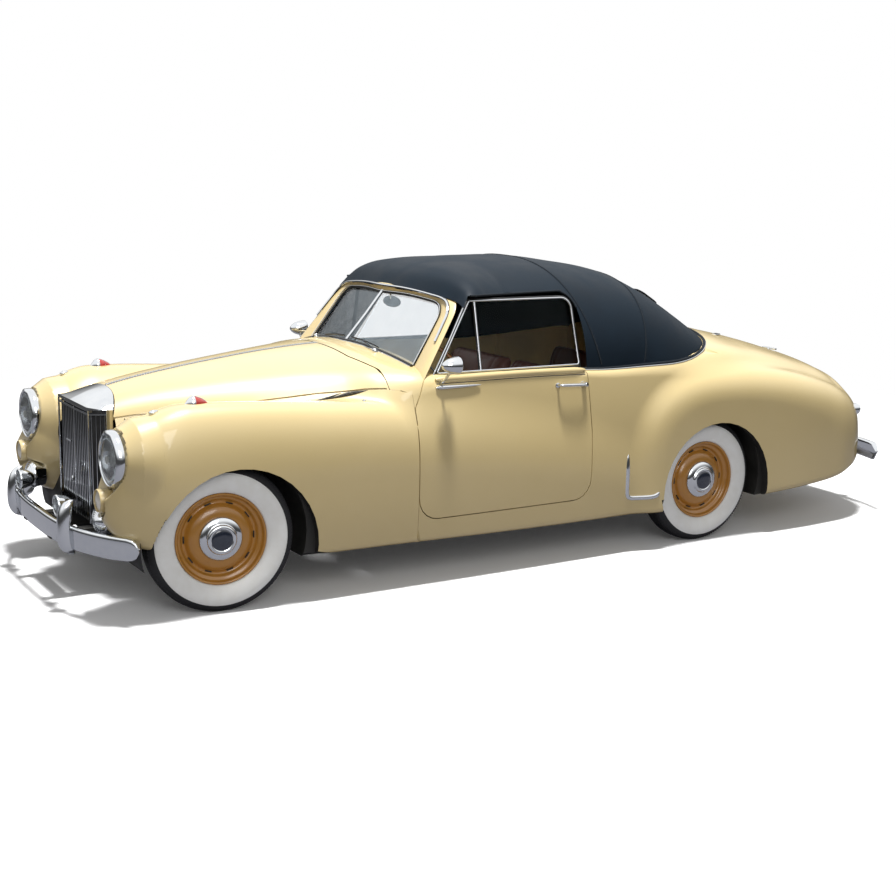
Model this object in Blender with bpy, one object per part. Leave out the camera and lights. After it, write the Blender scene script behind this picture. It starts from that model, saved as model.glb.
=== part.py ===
"""Two-door drophead coupe of the years around 1950, with its fabric top up.

The car faces -Y, its left side is at +X and the ground is at z = 0.  Places along
the car are stations: metres behind the front axle, turned into Y by along().
Every outer panel is cut from one smooth skin, so neighbouring panels run flush.
"""
import math

import bmesh
import bpy
import numpy as np
from mathutils import Matrix, Vector

# ---------------------------------------------------------------- driving dimensions
WHEELBASE = 2.88
FRONT_OVERHANG = 0.68          # front axle to the overriders
REAR_OVERHANG = 1.54           # rear axle to the rear bumper
HALF_WIDTH = 0.835             # over the wings
TRACK = 1.40
TYRE_RADIUS = 0.352
TYRE_WIDTH = 0.158
RIM_RADIUS = 0.217
STEER_AT_REST = math.radians(7.0)      # front wheels parked turned to the car's right

# ---------------------------------------------------------------- walls and gaps
SHUT_GAP = 0.005               # between a panel and its neighbour
SEAT = 0.0003                  # between pieces that rest on each other
DOOR_WALL = 0.09
BONNET_SHEET = 0.022
LID_SHEET = 0.025
GROUND_TO_SILL = 0.227

LENGTH = FRONT_OVERHANG + WHEELBASE + REAR_OVERHANG
FRONT_AXLE = FRONT_OVERHANG - LENGTH / 2
DRAWN_WHEELBASE = 2.88         # the wheelbase at which the stations below are drawn
DRAWN_HALF_WIDTH = 0.835


def along(s):
    """Y of a station; what lies between the axles stretches with the wheelbase."""
    stretch = WHEELBASE / DRAWN_WHEELBASE
    s = np.asarray(s, float)
    between = np.clip(s, 0.0, DRAWN_WHEELBASE) * stretch
    return FRONT_AXLE + between + np.minimum(s, 0.0) + np.maximum(s - DRAWN_WHEELBASE, 0.0)


def across(x):
    """X of a half-width, which follows the width over the wings."""
    return np.asarray(x, float) * (HALF_WIDTH / DRAWN_HALF_WIDTH)


# ---------------------------------------------------------------- the skin's tables
# station, half width at the belt, height on the centreline, fall from centre to belt,
# softness of the shoulder
HULL = (
    (-0.46, 0.255, 0.930, 0.030, 0.040),
    (-0.30, 0.285, 0.978, 0.045, 0.045),
    (0.06, 0.378, 1.048, 0.078, 0.050),
    (0.28, 0.430, 1.080, 0.092, 0.050),
    (0.52, 0.492, 1.110, 0.105, 0.050),
    (0.72, 0.575, 1.128, 0.105, 0.050),
    (0.86, 0.665, 1.135, 0.095, 0.050),
    (1.00, 0.735, 1.136, 0.095, 0.040),
    (1.20, 0.755, 1.100, 0.070, 0.020),
    (1.60, 0.762, 1.070, 0.040, 0.012),
    (2.10, 0.762, 1.060, 0.045, 0.015),
    (2.60, 0.755, 1.120, 0.090, 0.030),
    (3.00, 0.740, 1.170, 0.125, 0.060),
    (3.40, 0.715, 1.105, 0.125, 0.080),
    (3.82, 0.685, 1.003, 0.130, 0.085),
    (4.08, 0.655, 0.923, 0.130, 0.085),
    (4.20, 0.625, 0.868, 0.130, 0.080),
    (4.28, 0.560, 0.790, 0.120, 0.075),
    (4.34, 0.440, 0.680, 0.100, 0.070),
)
# station, height of the front wing's crown, its middle height, its centre from the
# centreline, its half width, depth below its middle height
FRONT_WING = (
    (-0.62, 0.930, 0.570, 0.670, 0.155, 0.290),
    (-0.30, 0.966, 0.580, 0.680, 0.155, 0.330),
    (-0.15, 0.978, 0.580, 0.686, 0.149, 0.400),
    (0.00, 0.976, 0.580, 0.690, 0.145, 0.450),
    (0.20, 0.966, 0.580, 0.690, 0.145, 0.560),
    (0.51, 0.946, 0.580, 0.688, 0.147, 0.600),
    (0.86, 0.920, 0.570, 0.684, 0.149, 0.600),
    (1.17, 0.872, 0.540, 0.680, 0.148, 0.600),
    (1.47, 0.820, 0.500, 0.676, 0.144, 0.600),
    (1.78, 0.765, 0.450, 0.672, 0.138, 0.600),
    (2.04, 0.700, 0.400, 0.668, 0.130, 0.600),
    (2.31, 0.605, 0.340, 0.664, 0.120, 0.600),
    (2.60, 0.480, 0.260, 0.660, 0.108, 0.600),
)
WING_INNER = 0.27              # half width of the front wing's inner flank
# station, half width over the rear wing
REAR_WING = (
    (2.20, 0.838),
    (3.40, 0.838),
    (3.80, 0.822),
    (4.00, 0.796),
    (4.12, 0.755),
    (4.20, 0.700),
    (4.27, 0.610),
    (4.33, 0.480),
)
# station, height of the body's lower edge
LOWER_EDGE = (
    (-0.60, 0.360),
    (-0.42, 0.335),
    (-0.34, 0.325),
    (0.30, 0.227),
    (3.30, 0.232),
    (3.62, 0.250),
    (3.95, 0.285),
    (4.10, 0.325),
    (4.34, 0.385),
)
SIDE_MID = 0.58                # height of the hull's widest line
WING_POWER = 2.5               # how square the front wing's section is
WING_NOSE = (-0.560, -0.15)    # stations of its tip and of where it starts to close
NOSE_POWER = 2.1               # how blunt the nose is
HULL_FRONT = (-0.435, 0.08)    # station of the hull's front, and its lean per metre of height
HUMP_CENTRE = (2.987, 0.45)    # station and height about which the rear wing is drawn
HUMP_REACH = (0.656, 0.539, 1.44)      # forward, up, rearward
HUMP_POWER = (2.68, 1.8)       # forward, rearward
HUMP_EDGE = 0.075
SIDE_SWELL = 0.030             # how far the side swells between belt and sill
SILL_TUCK = 0.035
FLOW = 0.035                   # softness of the joins between hull and wings


def curve(table, column):
    """A smooth function of the station through one column of a table."""
    at = np.array([row[0] for row in table])
    value = np.array([row[column] for row in table])
    slope = np.gradient(value, at)
    secant = np.diff(value) / np.diff(at)
    flat = np.zeros(len(at), bool)
    flat[1:-1] = secant[1:] * secant[:-1] <= 0
    slope[flat] = 0.0

    def read(s):
        s = np.clip(np.asarray(s, float), at[0], at[-1])
        i = np.clip(np.searchsorted(at, s) - 1, 0, len(at) - 2)
        h = at[i + 1] - at[i]
        t = (s - at[i]) / h
        return ((1 + 2 * t) * (1 - t) ** 2 * value[i] + t * (1 - t) ** 2 * h * slope[i]
                + t * t * (3 - 2 * t) * value[i + 1] + t * t * (t - 1) * h * slope[i + 1])
    return read


hull_half, hull_top, hull_fall, hull_edge = (curve(HULL, c) for c in (1, 2, 3, 4))
wing_crown, wing_mid, wing_centre, wing_half, wing_depth = (
    curve(FRONT_WING, c) for c in (1, 2, 3, 4, 5))
hump_half = curve(REAR_WING, 1)
lower_edge = curve(LOWER_EDGE, 1)


def smooth_max(a, b, soft):
    """The larger of two values, rounded over where they are within soft of each other."""
    h = np.clip(1 - np.abs(a - b) / soft, 0.0, 1.0)
    return np.maximum(a, b) + 0.25 * soft * h * h


def smooth_min(a, b, soft):
    return -smooth_max(-a, -b, soft)


def hull(x, s, z):
    """Below zero inside the bonnet, cabin sides and tail, without the wings."""
    half, fall = hull_half(s), hull_fall(s)
    belt = hull_top(s) - fall
    swell = 1 - ((z - SIDE_MID) / (belt - SIDE_MID)) ** 2
    side = x - half - SIDE_SWELL * np.maximum(swell, -1.0)
    top = z - hull_top(s) + fall * (x / half) ** 2
    start, lean = HULL_FRONT
    front = start + lean * (z - 0.35) - s
    return smooth_max(smooth_max(top, side, 2.5 * hull_edge(s)), front, 0.05)


def front_wing(x, s, z):
    """Below zero inside the front wing, which thins out along the door."""
    tip, shoulder = WING_NOSE
    t = np.clip((shoulder - s) / (shoulder - tip), 0.0, 0.9999)
    close = (1 - t ** NOSE_POWER) ** (1 / NOSE_POWER)
    mid = wing_mid(s)
    up = (wing_crown(s) - mid) * close
    down = wing_depth(s) * close
    off = x - wing_centre(s)
    across_part = np.abs(off) / (np.where(off > 0, wing_half(s), WING_INNER) * close)
    height_part = np.where(z > mid, (z - mid) / up, (mid - z) / down)
    size = (across_part ** WING_POWER + height_part ** WING_POWER) ** (1 / WING_POWER)
    return (size - 1) * wing_half(s) * close


def rear_wing(x, s, z):
    """Below zero inside the rear wing, which swells out of the side."""
    s0, z0 = HUMP_CENTRE
    fore, up, aft = HUMP_REACH
    ahead = s < s0
    power = np.where(ahead, HUMP_POWER[0], HUMP_POWER[1])
    run = np.abs(s - s0) / np.where(ahead, fore, aft)
    rise = np.maximum(z - z0, 0.0) / up
    outline = ((run ** power + rise ** power) ** (1 / power) - 1) * up
    return smooth_max(outline, x - hump_half(s), 2.5 * HUMP_EDGE)


def skin(x, s, z):
    """Below zero inside the whole closed body, x being the distance from its centre."""
    body = hull(x, s, z)
    body = np.where(s < 2.9, smooth_min(body, front_wing(x, s, z), FLOW * 2), body)
    body = np.where(s > 2.2, smooth_min(body, rear_wing(x, s, z), FLOW), body)
    return smooth_max(body, lower_edge(s) - z, SILL_TUCK)


def reach_skin(x0, z0, dx, dz, s, reach):
    """Distance along each ray (x0, z0) + r (dx, dz), at station s, to where it leaves the skin."""
    near, far = np.zeros_like(s), np.broadcast_to(np.asarray(reach, float), s.shape).copy()
    steps = np.linspace(0.0, 1.0, 61)
    for low, high in zip(steps[-2::-1], steps[:0:-1]):
        r = low * reach
        inside = (skin(np.abs(x0 + r * dx), s, z0 + r * dz) < 0) & (near == 0)
        near = np.where(inside, r, near)
        far = np.where(inside, high * reach, far)
    for _ in range(18):
        middle = (near + far) / 2
        inside = skin(np.abs(x0 + middle * dx), s, z0 + middle * dz) < 0
        near, far = np.where(inside, middle, near), np.where(inside, far, middle)
    return near


# ==== MESHES ======================================================================
def clear_scene():
    for item in list(bpy.data.objects):
        bpy.data.objects.remove(item, do_unlink=True)


def collection(name):
    made = bpy.data.collections.new(name)
    bpy.context.scene.collection.children.link(made)
    return made


clear_scene()
PARTS = collection("drophead_coupe")
CUTTERS = collection("cutters")

PAINT, CHROME, STEEL, GLASS, FABRIC, LEATHER, RUBBER, OCHRE, BLACK, LENS, RED, TRIM = (
    "paint", "chrome", "steel", "glass", "fabric", "leather", "rubber", "ochre", "black",
    "lens", "red", "trim")
FINISHES = {                   # colour, roughness, metallic
    PAINT: ((0.60, 0.50, 0.30), 0.25, 0.0),
    CHROME: ((0.80, 0.82, 0.85), 0.10, 1.0),
    STEEL: ((0.10, 0.10, 0.10), 0.60, 0.3),
    GLASS: ((0.55, 0.65, 0.70), 0.05, 0.0),
    FABRIC: ((0.020, 0.035, 0.050), 0.85, 0.0),
    LEATHER: ((0.12, 0.045, 0.030), 0.55, 0.0),
    RUBBER: ((0.025, 0.025, 0.025), 0.80, 0.0),
    OCHRE: ((0.45, 0.20, 0.04), 0.35, 0.0),
    BLACK: ((0.02, 0.02, 0.02), 0.50, 0.0),
    LENS: ((0.80, 0.80, 0.76), 0.10, 0.0),
    RED: ((0.35, 0.02, 0.02), 0.15, 0.0),
    TRIM: ((0.20, 0.12, 0.06), 0.40, 0.0),
}


def finish_of(name):
    """The shared material of that name, made when it is first asked for."""
    found = bpy.data.materials.get(name)
    if found:
        return found
    colour, roughness, metallic = FINISHES[name]
    made = bpy.data.materials.new(name)
    made.use_nodes = True
    shader = made.node_tree.nodes["Principled BSDF"]
    shader.inputs["Base Color"].default_value = (*colour, 1.0)
    shader.inputs["Roughness"].default_value = roughness
    shader.inputs["Metallic"].default_value = metallic
    return made


def thing(name, mesh, finish=None):
    """An object of this mesh; with no finish it is a cutter."""
    made = bpy.data.objects.new(name, mesh)
    (PARTS if finish else CUTTERS).objects.link(made)
    if finish:
        mesh.materials.clear()
        mesh.materials.append(finish_of(finish))
    else:
        made.hide_render = True
        made.display_type = "WIRE"
    return made


def mesh_of(bm, name):
    bmesh.ops.recalc_face_normals(bm, faces=bm.faces)
    if bm.calc_volume(signed=True) < 0:
        bmesh.ops.reverse_faces(bm, faces=bm.faces)
    mesh = bpy.data.meshes.new(name)
    bm.to_mesh(mesh)
    bm.free()
    return mesh


def loft(name, rings, finish=None, closed=False, symmetric=False):
    """A closed solid through rings of equally many points; closed joins last to first.

    Symmetric rings run from the top round one side to the bottom and back up the other."""
    bm = bmesh.new()
    rows = [[bm.verts.new(tuple(float(c) for c in point)) for point in ring] for ring in rings]
    pairs = list(zip(rows, rows[1:])) + ([(rows[-1], rows[0])] if closed else [])
    for row, next_row in pairs:
        for i in range(len(row)):
            j = (i + 1) % len(row)
            bm.faces.new((row[i], row[j], next_row[j]))
            bm.faces.new((row[i], next_row[j], next_row[i]))
    for row in [] if closed else [rows[0], rows[-1]]:
        count = len(row)
        if symmetric:
            bm.faces.new((row[0], row[1], row[-1]))
            for i in range(1, count // 2 - 1):
                bm.faces.new((row[i], row[i + 1], row[count - i - 1], row[count - i]))
            bm.faces.new((row[count // 2 - 1], row[count // 2], row[count // 2 + 1]))
        else:
            bmesh.ops.triangulate(bm, faces=[bm.faces.new(row)])
    return thing(name, mesh_of(bm, name), finish)


def apply_modifiers(item):
    """Bake an object's modifiers into its own mesh."""
    bpy.context.view_layer.update()
    graph = bpy.context.evaluated_depsgraph_get()
    mesh = bpy.data.meshes.new_from_object(item.evaluated_get(graph))
    item.modifiers.clear()
    item.data = mesh
    return item


def carve(item, cutter, how="DIFFERENCE", keep=False):
    """Cut, join or meet an object with another, and drop the other unless it is kept."""
    step = item.modifiers.new("carve", "BOOLEAN")
    step.operation = how
    step.object = cutter
    step.solver = "EXACT"
    apply_modifiers(item)
    if not keep:
        bpy.data.objects.remove(cutter, do_unlink=True)
    return item


def fattened(item, by):
    """Move a solid's surface outwards by a distance."""
    bm = bmesh.new()
    bm.from_mesh(item.data)
    bm.normal_update()
    moves = [v.normal * by * v.calc_shell_factor() for v in bm.verts]
    for v, move in zip(bm.verts, moves):
        v.co += move
    bm.to_mesh(item.data)
    bm.free()
    return item


def even(item):
    """Make a piece that crosses the car's middle an exact mirror of its left half."""
    bm = bmesh.new()
    bm.from_mesh(item.data)
    everything = bm.verts[:] + bm.edges[:] + bm.faces[:]
    bmesh.ops.bisect_plane(bm, geom=everything, plane_co=(0, 0, 0), plane_no=(1, 0, 0),
                           clear_inner=True)
    for v in bm.verts:
        if abs(v.co.x) < 1e-5:
            v.co.x = 0.0
    flat = [f for f in bm.faces if all(v.co.x == 0.0 for v in f.verts)]
    bmesh.ops.delete(bm, geom=flat, context="FACES")
    half = bmesh.ops.duplicate(bm, geom=bm.verts[:] + bm.edges[:] + bm.faces[:])["geom"]
    copy_verts = [g for g in half if isinstance(g, bmesh.types.BMVert)]
    copy_faces = [g for g in half if isinstance(g, bmesh.types.BMFace)]
    bmesh.ops.scale(bm, vec=(-1, 1, 1), verts=copy_verts)
    bmesh.ops.reverse_faces(bm, faces=copy_faces)
    bmesh.ops.remove_doubles(bm, verts=[v for v in bm.verts if v.co.x == 0.0], dist=1e-6)
    bm.to_mesh(item.data)
    bm.free()
    return item


def mirrored(item, name, finish):
    """The same piece for the car's other side."""
    mesh = item.data.copy()
    bm = bmesh.new()
    bm.from_mesh(mesh)
    bmesh.ops.scale(bm, vec=(-1, 1, 1), verts=bm.verts)
    bmesh.ops.reverse_faces(bm, faces=bm.faces)
    bm.to_mesh(mesh)
    bm.free()
    made = thing(name, mesh, finish)
    x, y, z = item.location
    made.location = (-x, y, z)
    return made


def set_origin(item, point):
    """Move an object's origin onto its joint without moving the piece."""
    point = Vector(point)
    item.data.transform(Matrix.Translation(item.location - point))
    item.location = point
    return item


def box(name, low, high, finish=None):
    """A box between two corners."""
    bm = bmesh.new()
    bmesh.ops.create_cube(bm, size=1.0)
    low, high = Vector(low), Vector(high)
    bmesh.ops.scale(bm, vec=high - low, verts=bm.verts)
    bmesh.ops.translate(bm, vec=(high + low) / 2, verts=bm.verts)
    return thing(name, mesh_of(bm, name), finish)


def rod(name, start, end, radius, finish=None, end_radius=None, sides=24):
    """A round bar or cone between two points."""
    start, end = Vector(start), Vector(end)
    bm = bmesh.new()
    bmesh.ops.create_cone(bm, cap_ends=True, segments=sides, radius1=radius,
                          radius2=radius if end_radius is None else end_radius,
                          depth=(end - start).length)
    turn = Vector((0, 0, 1)).rotation_difference(end - start).to_matrix().to_4x4()
    bmesh.ops.transform(bm, matrix=Matrix.Translation((start + end) / 2) @ turn, verts=bm.verts)
    return thing(name, mesh_of(bm, name), finish)


def rounded(corners, radii, steps=5):
    """An outline in the plane with each corner turned into an arc of its radius."""
    points = []
    count = len(corners)
    for i, (corner, radius) in enumerate(zip(corners, radii)):
        here = Vector(corner)
        before, after = Vector(corners[i - 1]), Vector(corners[(i + 1) % count])
        if radius == 0:
            points.append(tuple(here))
            continue
        to_before, to_after = (before - here).normalized(), (after - here).normalized()
        half = to_before.angle(to_after) / 2
        centre = here + (to_before + to_after).normalized() * radius / math.sin(half)
        first = here + to_before * radius / math.tan(half) - centre
        last = here + to_after * radius / math.tan(half) - centre
        begin = math.atan2(first.y, first.x)
        sweep = (math.atan2(last.y, last.x) - begin + math.pi) % (2 * math.pi) - math.pi
        for k in range(steps + 1):
            turn = begin + sweep * k / steps
            points.append((centre.x + radius * math.cos(turn), centre.y + radius * math.sin(turn)))
    return points


def prism(name, outline, low, high, lay, finish=None):
    """An outline in (u, v), drawn out from low to high along w."""
    rings = [[lay(u, v, w) for u, v in outline] for w in (low, high)]
    return loft(name, rings, finish)


def sideways(u, v, w):
    """Outline drawn in station and height, drawn out across the car."""
    return (float(across(w)), float(along(u)), v)


def upwards(u, v, w):
    """Outline drawn in half width and station, drawn out in height."""
    return (float(across(u)), float(along(v)), w)


def turned(name, profile, centre, axis, finish=None, sides=24, start=0.0):
    """A profile of (radius, distance along the axis), turned about that axis.

    It either starts and ends on the axis or closes on itself."""
    turn = Vector((0, 0, 1)).rotation_difference(Vector(axis)).to_matrix().to_4x4()
    put = Matrix.Translation(Vector(centre)) @ turn
    bm = bmesh.new()
    rows = []
    for radius, distance in profile:
        angles = [2 * math.pi * (k + start) / sides for k in range(sides if radius else 1)]
        rows.append([bm.verts.new(put @ Vector((radius * math.cos(a), radius * math.sin(a),
                                                distance))) for a in angles])
    closed = all(radius > 0 for radius, _ in profile)
    for row, next_row in list(zip(rows, rows[1:])) + ([(rows[-1], rows[0])] if closed else []):
        for i in range(sides):
            j = (i + 1) % sides
            if len(row) == 1:
                corners = (row[0], next_row[j], next_row[i])
            elif len(next_row) == 1:
                corners = (row[i], row[j], next_row[0])
            else:
                corners = (row[i], row[j], next_row[j], next_row[i])
            bm.faces.new(corners)
    return thing(name, mesh_of(bm, name), finish)


# ---------------------------------------------------------------- solids of the skin
def place(x, s, z):
    """A point given by half width, station and height."""
    return (float(across(x)), float(along(s)), float(z))


COWL_FRONT = 0.843             # station of the cowl's front edge on the centreline
COWL_SWEEP = 0.052             # how far that edge runs back at the sides
# degrees above the horizontal at which a section's rays leave the middle
RAYS = (90, 77, 65, 57, 51, 46.5, 42.5, 39, 35.5, 31.5, 26.5, 20, 13, 5, -3, -8.5, -15, -40, -90)
SECTION_MIDDLE = 0.12          # height of that middle above the lower edge


def cowl_line(x):
    """Station of the shut line behind the bonnet: straight across, swept back at the sides."""
    return COWL_FRONT + COWL_SWEEP * np.clip((x - 0.36) / 0.22, 0.0, 1.0)


def skin_section(s, grow=0.0):
    """One closed ring of the whole body at a station, or along the cowl's shut line."""
    angle = np.radians(np.array(RAYS, float))
    station = np.full_like(angle, s)
    z0 = float(lower_edge(s)) + SECTION_MIDDLE
    for _ in range(4 if s == COWL_FRONT else 1):
        r = reach_skin(0.0, z0, np.cos(angle), np.sin(angle), station, 1.1) + grow
        if s == COWL_FRONT:
            station = cowl_line(r * np.cos(angle))
    right = [place(a, b, c) for a, b, c in zip(r * np.cos(angle), station, z0 + r * np.sin(angle))]
    return right + [(-x, y, z) for x, y, z in right[-2:0:-1]]


def skin_solid(name, stations, grow=0.0, finish=None):
    """The closed body through these stations, its surface moved out by grow."""
    return loft(name, [skin_section(s, grow) for s in stations], finish, symmetric=True)


TAIL_END = 4.34
BODY_STATIONS = (
    COWL_FRONT, 0.94, 1.02, 1.20, 1.45, 1.80, 2.08, 2.26, 2.325, 2.37, 2.43, 2.53, 2.68, 2.86,
    3.04, 3.22, 3.40, 3.60, 3.80, 3.96, 4.08, 4.17, 4.24, 4.29, TAIL_END)

# the line between bonnet and wing: station, half width
BONNET_SIDE = (
    (-0.46, 0.258), (-0.30, 0.290), (0.06, 0.390), (0.28, 0.442), (0.52, 0.505),
    (0.72, 0.590), (0.88, 0.685), (1.00, 0.752))
bonnet_side = curve(BONNET_SIDE, 1)

DOOR_FRONT, DOOR_REAR, DOOR_FOOT = 0.995, 2.055, 0.342
BELT_TOP = 1.032               # height of the door's top rail
DOOR_OUTLINE = rounded(
    [(DOOR_FRONT, DOOR_FOOT), (DOOR_REAR, DOOR_FOOT), (DOOR_REAR + 0.01, 0.70),
     (DOOR_REAR - 0.03, 1.20), (1.16, 1.20), (DOOR_FRONT, 0.885)],
    [0.11, 0.11, 0.5, 0.0, 0.0, 0.05])


def hollow(name, front, rear, walls, finish=None):
    """A space between two stations, its walls given as (height, half width) rows."""
    rings = []
    for s in (front, rear):
        half = [place(x, s, z) for z, x in walls]
        rings.append(half + [(-x, y, z) for x, y, z in half[::-1]])
    return loft(name, rings, finish)


def grown(outline, gap):
    """An outline moved outwards by a gap."""
    centre = sum((Vector(p) for p in outline), Vector((0, 0))) / len(outline)
    result = []
    for i, point in enumerate(outline):
        before, after = Vector(outline[i - 1]), Vector(outline[(i + 1) % len(outline)])
        run = (after - before).normalized()
        out = Vector((run.y, -run.x))
        if out.dot(Vector(point) - centre) < 0:
            out = -out
        result.append(tuple(Vector(point) + out * gap))
    return result


FLOOR_TOP = 0.36
FLOOR_UNDER = 0.335
REAR_FLOOR = 0.56              # under the rear seat's back, over the axle
DOOR_INNER = 0.66              # half width inside which the door has no metal
CABIN_FRONT = 1.13
CABIN_WALLS = ((FLOOR_TOP, 0.715), (0.75, 0.705), (1.30, 0.665))
REAR_WELL = (2.93, 0.30, 0.385)        # station, height, radius of the rear arch
FRONT_WELL = (0.045, 0.285, 0.403)
POCKET_FACE = 0.80             # half width at which the wheel pockets meet the arches
REAR_POCKET = (0.56, 0.400)    # inner half width, radius
FRONT_POCKET = (0.43, 0.400)
LID_OUTLINE = rounded([(-0.44, 3.36), (0.44, 3.36), (0.37, 4.13), (-0.37, 4.13)],
                      [0.10, 0.10, 0.12, 0.12])
BOOT_FLOOR = 0.50


def wheel_space(name, side, axle, arch, pocket):
    """The pocket a wheel turns in, and the arch through the wing's skin."""
    station, height, radius = arch
    inner, pocket_radius = pocket
    space = rod(name, place(side * inner, axle, TYRE_RADIUS),
                place(side * POCKET_FACE, axle, TYRE_RADIUS), pocket_radius, sides=36)
    way = rod(name + "_arch", place(side * (POCKET_FACE - 0.01), station, height),
              place(side * 1.1, station, height), radius, sides=36)
    return carve(space, way, "UNION")


def body_tub():
    """Cowl, sills, floor, rear quarters and tail: everything the panels hang on."""
    tub = skin_solid("body_tub", BODY_STATIONS, finish=PAINT)
    steps = [s for s in WING_STATIONS if s > 0.7]
    bay = [(float(bonnet_side(s)) - SEAT, s) for s in steps]
    bay[-1] = (bay[-1][0], steps[-1] + 0.002)
    bay += [(1.1, steps[-1] + 0.002), (1.1, steps[0])]
    carve(tub, prism("bay", bay, 0.1, 1.4, upwards))
    carve(tub, prism("door_way", grown(DOOR_OUTLINE, SHUT_GAP), DOOR_INNER - 0.002, 1.1,
                     sideways))
    carve(tub, wheel_space("rear_space", 1, DRAWN_WHEELBASE, REAR_WELL, REAR_POCKET))
    carve(tub, hollow("cabin", CABIN_FRONT, 2.42, CABIN_WALLS))
    carve(tub, hollow("footwell", 0.92, CABIN_FRONT + 0.02, ((FLOOR_TOP, 0.60), (0.96, 0.60))))
    carve(tub, hollow("rear_seat_well", 2.40, 2.80, ((REAR_FLOOR, 0.53), (0.98, 0.53))))
    carve(tub, hollow("shelf", 2.40, 2.93, ((0.80, 0.64), (1.30, 0.62))))
    carve(tub, hollow("under_floor", 0.5, 3.50, ((0.0, 0.60), (FLOOR_UNDER, 0.60))))
    carve(tub, hollow("over_axle", 2.50, 3.30, ((0.0, 0.50), (0.53, 0.50))))
    carve(tub, hollow("axle_way", 2.77, 2.99, ((0.0, 0.57), (0.45, 0.57))))
    carve(tub, prism("boot_well", grown(LID_OUTLINE, SHUT_GAP), BOOT_FLOOR, 1.4, upwards))
    carve(tub, bar("lamp_hole", (0.640, 4.16 - SEAT, 0.645), (0.640, 4.5, 0.645), 0.0345,
                   sides=20))
    return even(tub)


def door(name, side):
    """A whole door: the skin's own curve outside, the cabin's wall inside."""
    panel = skin_solid(name, [s for s in BODY_STATIONS if 0.9 < s < 2.4], finish=PAINT)
    slab = prism("slab", DOOR_OUTLINE, side * DOOR_INNER, side * 1.1, sideways)
    carve(panel, slab, "INTERSECT")
    carve(panel, hollow("cabin", CABIN_FRONT, 2.42, CABIN_WALLS))
    for height in HINGE_HEIGHTS:
        leaf = box("leaf", place(side * 0.775, DOOR_FRONT - SHUT_GAP + SEAT, height - 0.03),
                   place(side * 0.805, DOOR_FRONT + 0.01, height + 0.03))
        carve(panel, leaf, "UNION")
    return set_origin(panel, place(side * DOOR_HINGE_X, DOOR_FRONT, 0.60))


HINGE_HEIGHTS = (0.50, 0.78)
DOOR_HINGE_X = 0.833
WING_MIDDLE = (0.60, 0.56)     # half width and height about which the wing's rings are drawn
WING_TIP = (-0.557, 0.668, 0.57)       # the same at its tip, after the tip's station
WING_STATIONS = (-0.557, -0.545, -0.52, -0.49, -0.46, -0.43, -0.405, -0.38, -0.345, -0.28,
                 -0.19, -0.08, 0.06, 0.22, 0.40, 0.58, 0.74, 0.87, DOOR_FRONT - SHUT_GAP)
NOSE_START = -0.436            # ahead of this the wing closes on itself
WING_RAYS = 20


def skin_height(x, s):
    """Height of the skin's upper side at a half width and station."""
    one = np.ones(1)
    return 0.45 + float(reach_skin(x * one, 0.45, 0.0, 1.0, s * one, 0.9)[0])


def wing_section(s):
    """A ring of the front wing, flat where it lies against the bonnet and the nose."""
    wall, foot = float(bonnet_side(s)), float(lower_edge(s))
    tip, tip_x, tip_z = WING_TIP
    share = float(np.clip((s + 0.40) / (tip + 0.40), 0.0, 1.0))
    x0 = max(WING_MIDDLE[0], (wall + 0.80) / 2) * (1 - share) + tip_x * share
    z0 = WING_MIDDLE[1] * (1 - share) + tip_z * share
    start = math.atan2(skin_height(wall, max(s, NOSE_START)) - z0, wall - x0) % (2 * math.pi)
    angle = np.concatenate([np.linspace(start, math.radians(-90), WING_RAYS),
                            [math.atan2(foot - z0, wall - x0)]])
    dx, dz = np.cos(angle), np.sin(angle)
    r = reach_skin(x0, z0, dx, dz, np.full_like(angle, s), 0.75)
    if s > NOSE_START:
        to_wall = np.where(dx < 0, (wall - x0) / np.minimum(dx, -1e-9), 9.0)
        r = np.minimum(r, to_wall)
        r[0], r[-1] = to_wall[0], to_wall[-1]
    return [place(x0 + a, s, z0 + b) for a, b in zip(r * dx, r * dz)]


def front_wing_panel():
    """The left front wing, from its nose round the headlamp to the door."""
    wing = loft("front_wing_left", [wing_section(s) for s in WING_STATIONS], PAINT)
    carve(wing, wheel_space("front_space", 1, 0.0, FRONT_WELL, FRONT_POCKET))
    carve(wing, block("arm_way", (0.25, 0.50), (-0.12, 0.12), (0.1, 0.52)))
    x, s, z, *_ = LAMPS["headlamp_left"]
    radius, end, end_radius = LAMP_POD
    carve(wing, bar("pod", (x, s, z), end, radius, end_radius=end_radius, sides=24), "UNION")
    for name in LAMPS:
        carve(wing, lamp_seat(name))
    return wing


BONNET_FRONT = -0.297
BONNET_ROWS = 14
HINGE_STRIP = 0.008            # half width of the hinge strip between the bonnet's halves


REAR_GAP = 0.009                # between the bonnet and the cowl
BONNET_SHARES = (0, 0.15, 0.30, 0.44, 0.575, 0.66, 0.75, 0.83, 0.89, 0.95, 1.0)


def bonnet_point(s, share, depth=0.0):
    """Half width and height on the bonnet, share running from the hinge to the wing."""
    edge = float(bonnet_side(s)) - SHUT_GAP
    z0 = 0.55
    low = math.atan2(skin_height(edge, s) - z0, edge)
    high = math.atan2(float(hull_top(s)) - z0, HINGE_STRIP + 3 * SEAT)
    angle = high + (low - high) * share
    one = np.ones(1)
    r = float(reach_skin(0.0, z0, math.cos(angle) * one, math.sin(angle) * one, s * one, 0.9)[0])
    r -= depth
    return r * math.cos(angle), z0 + r * math.sin(angle)


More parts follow.
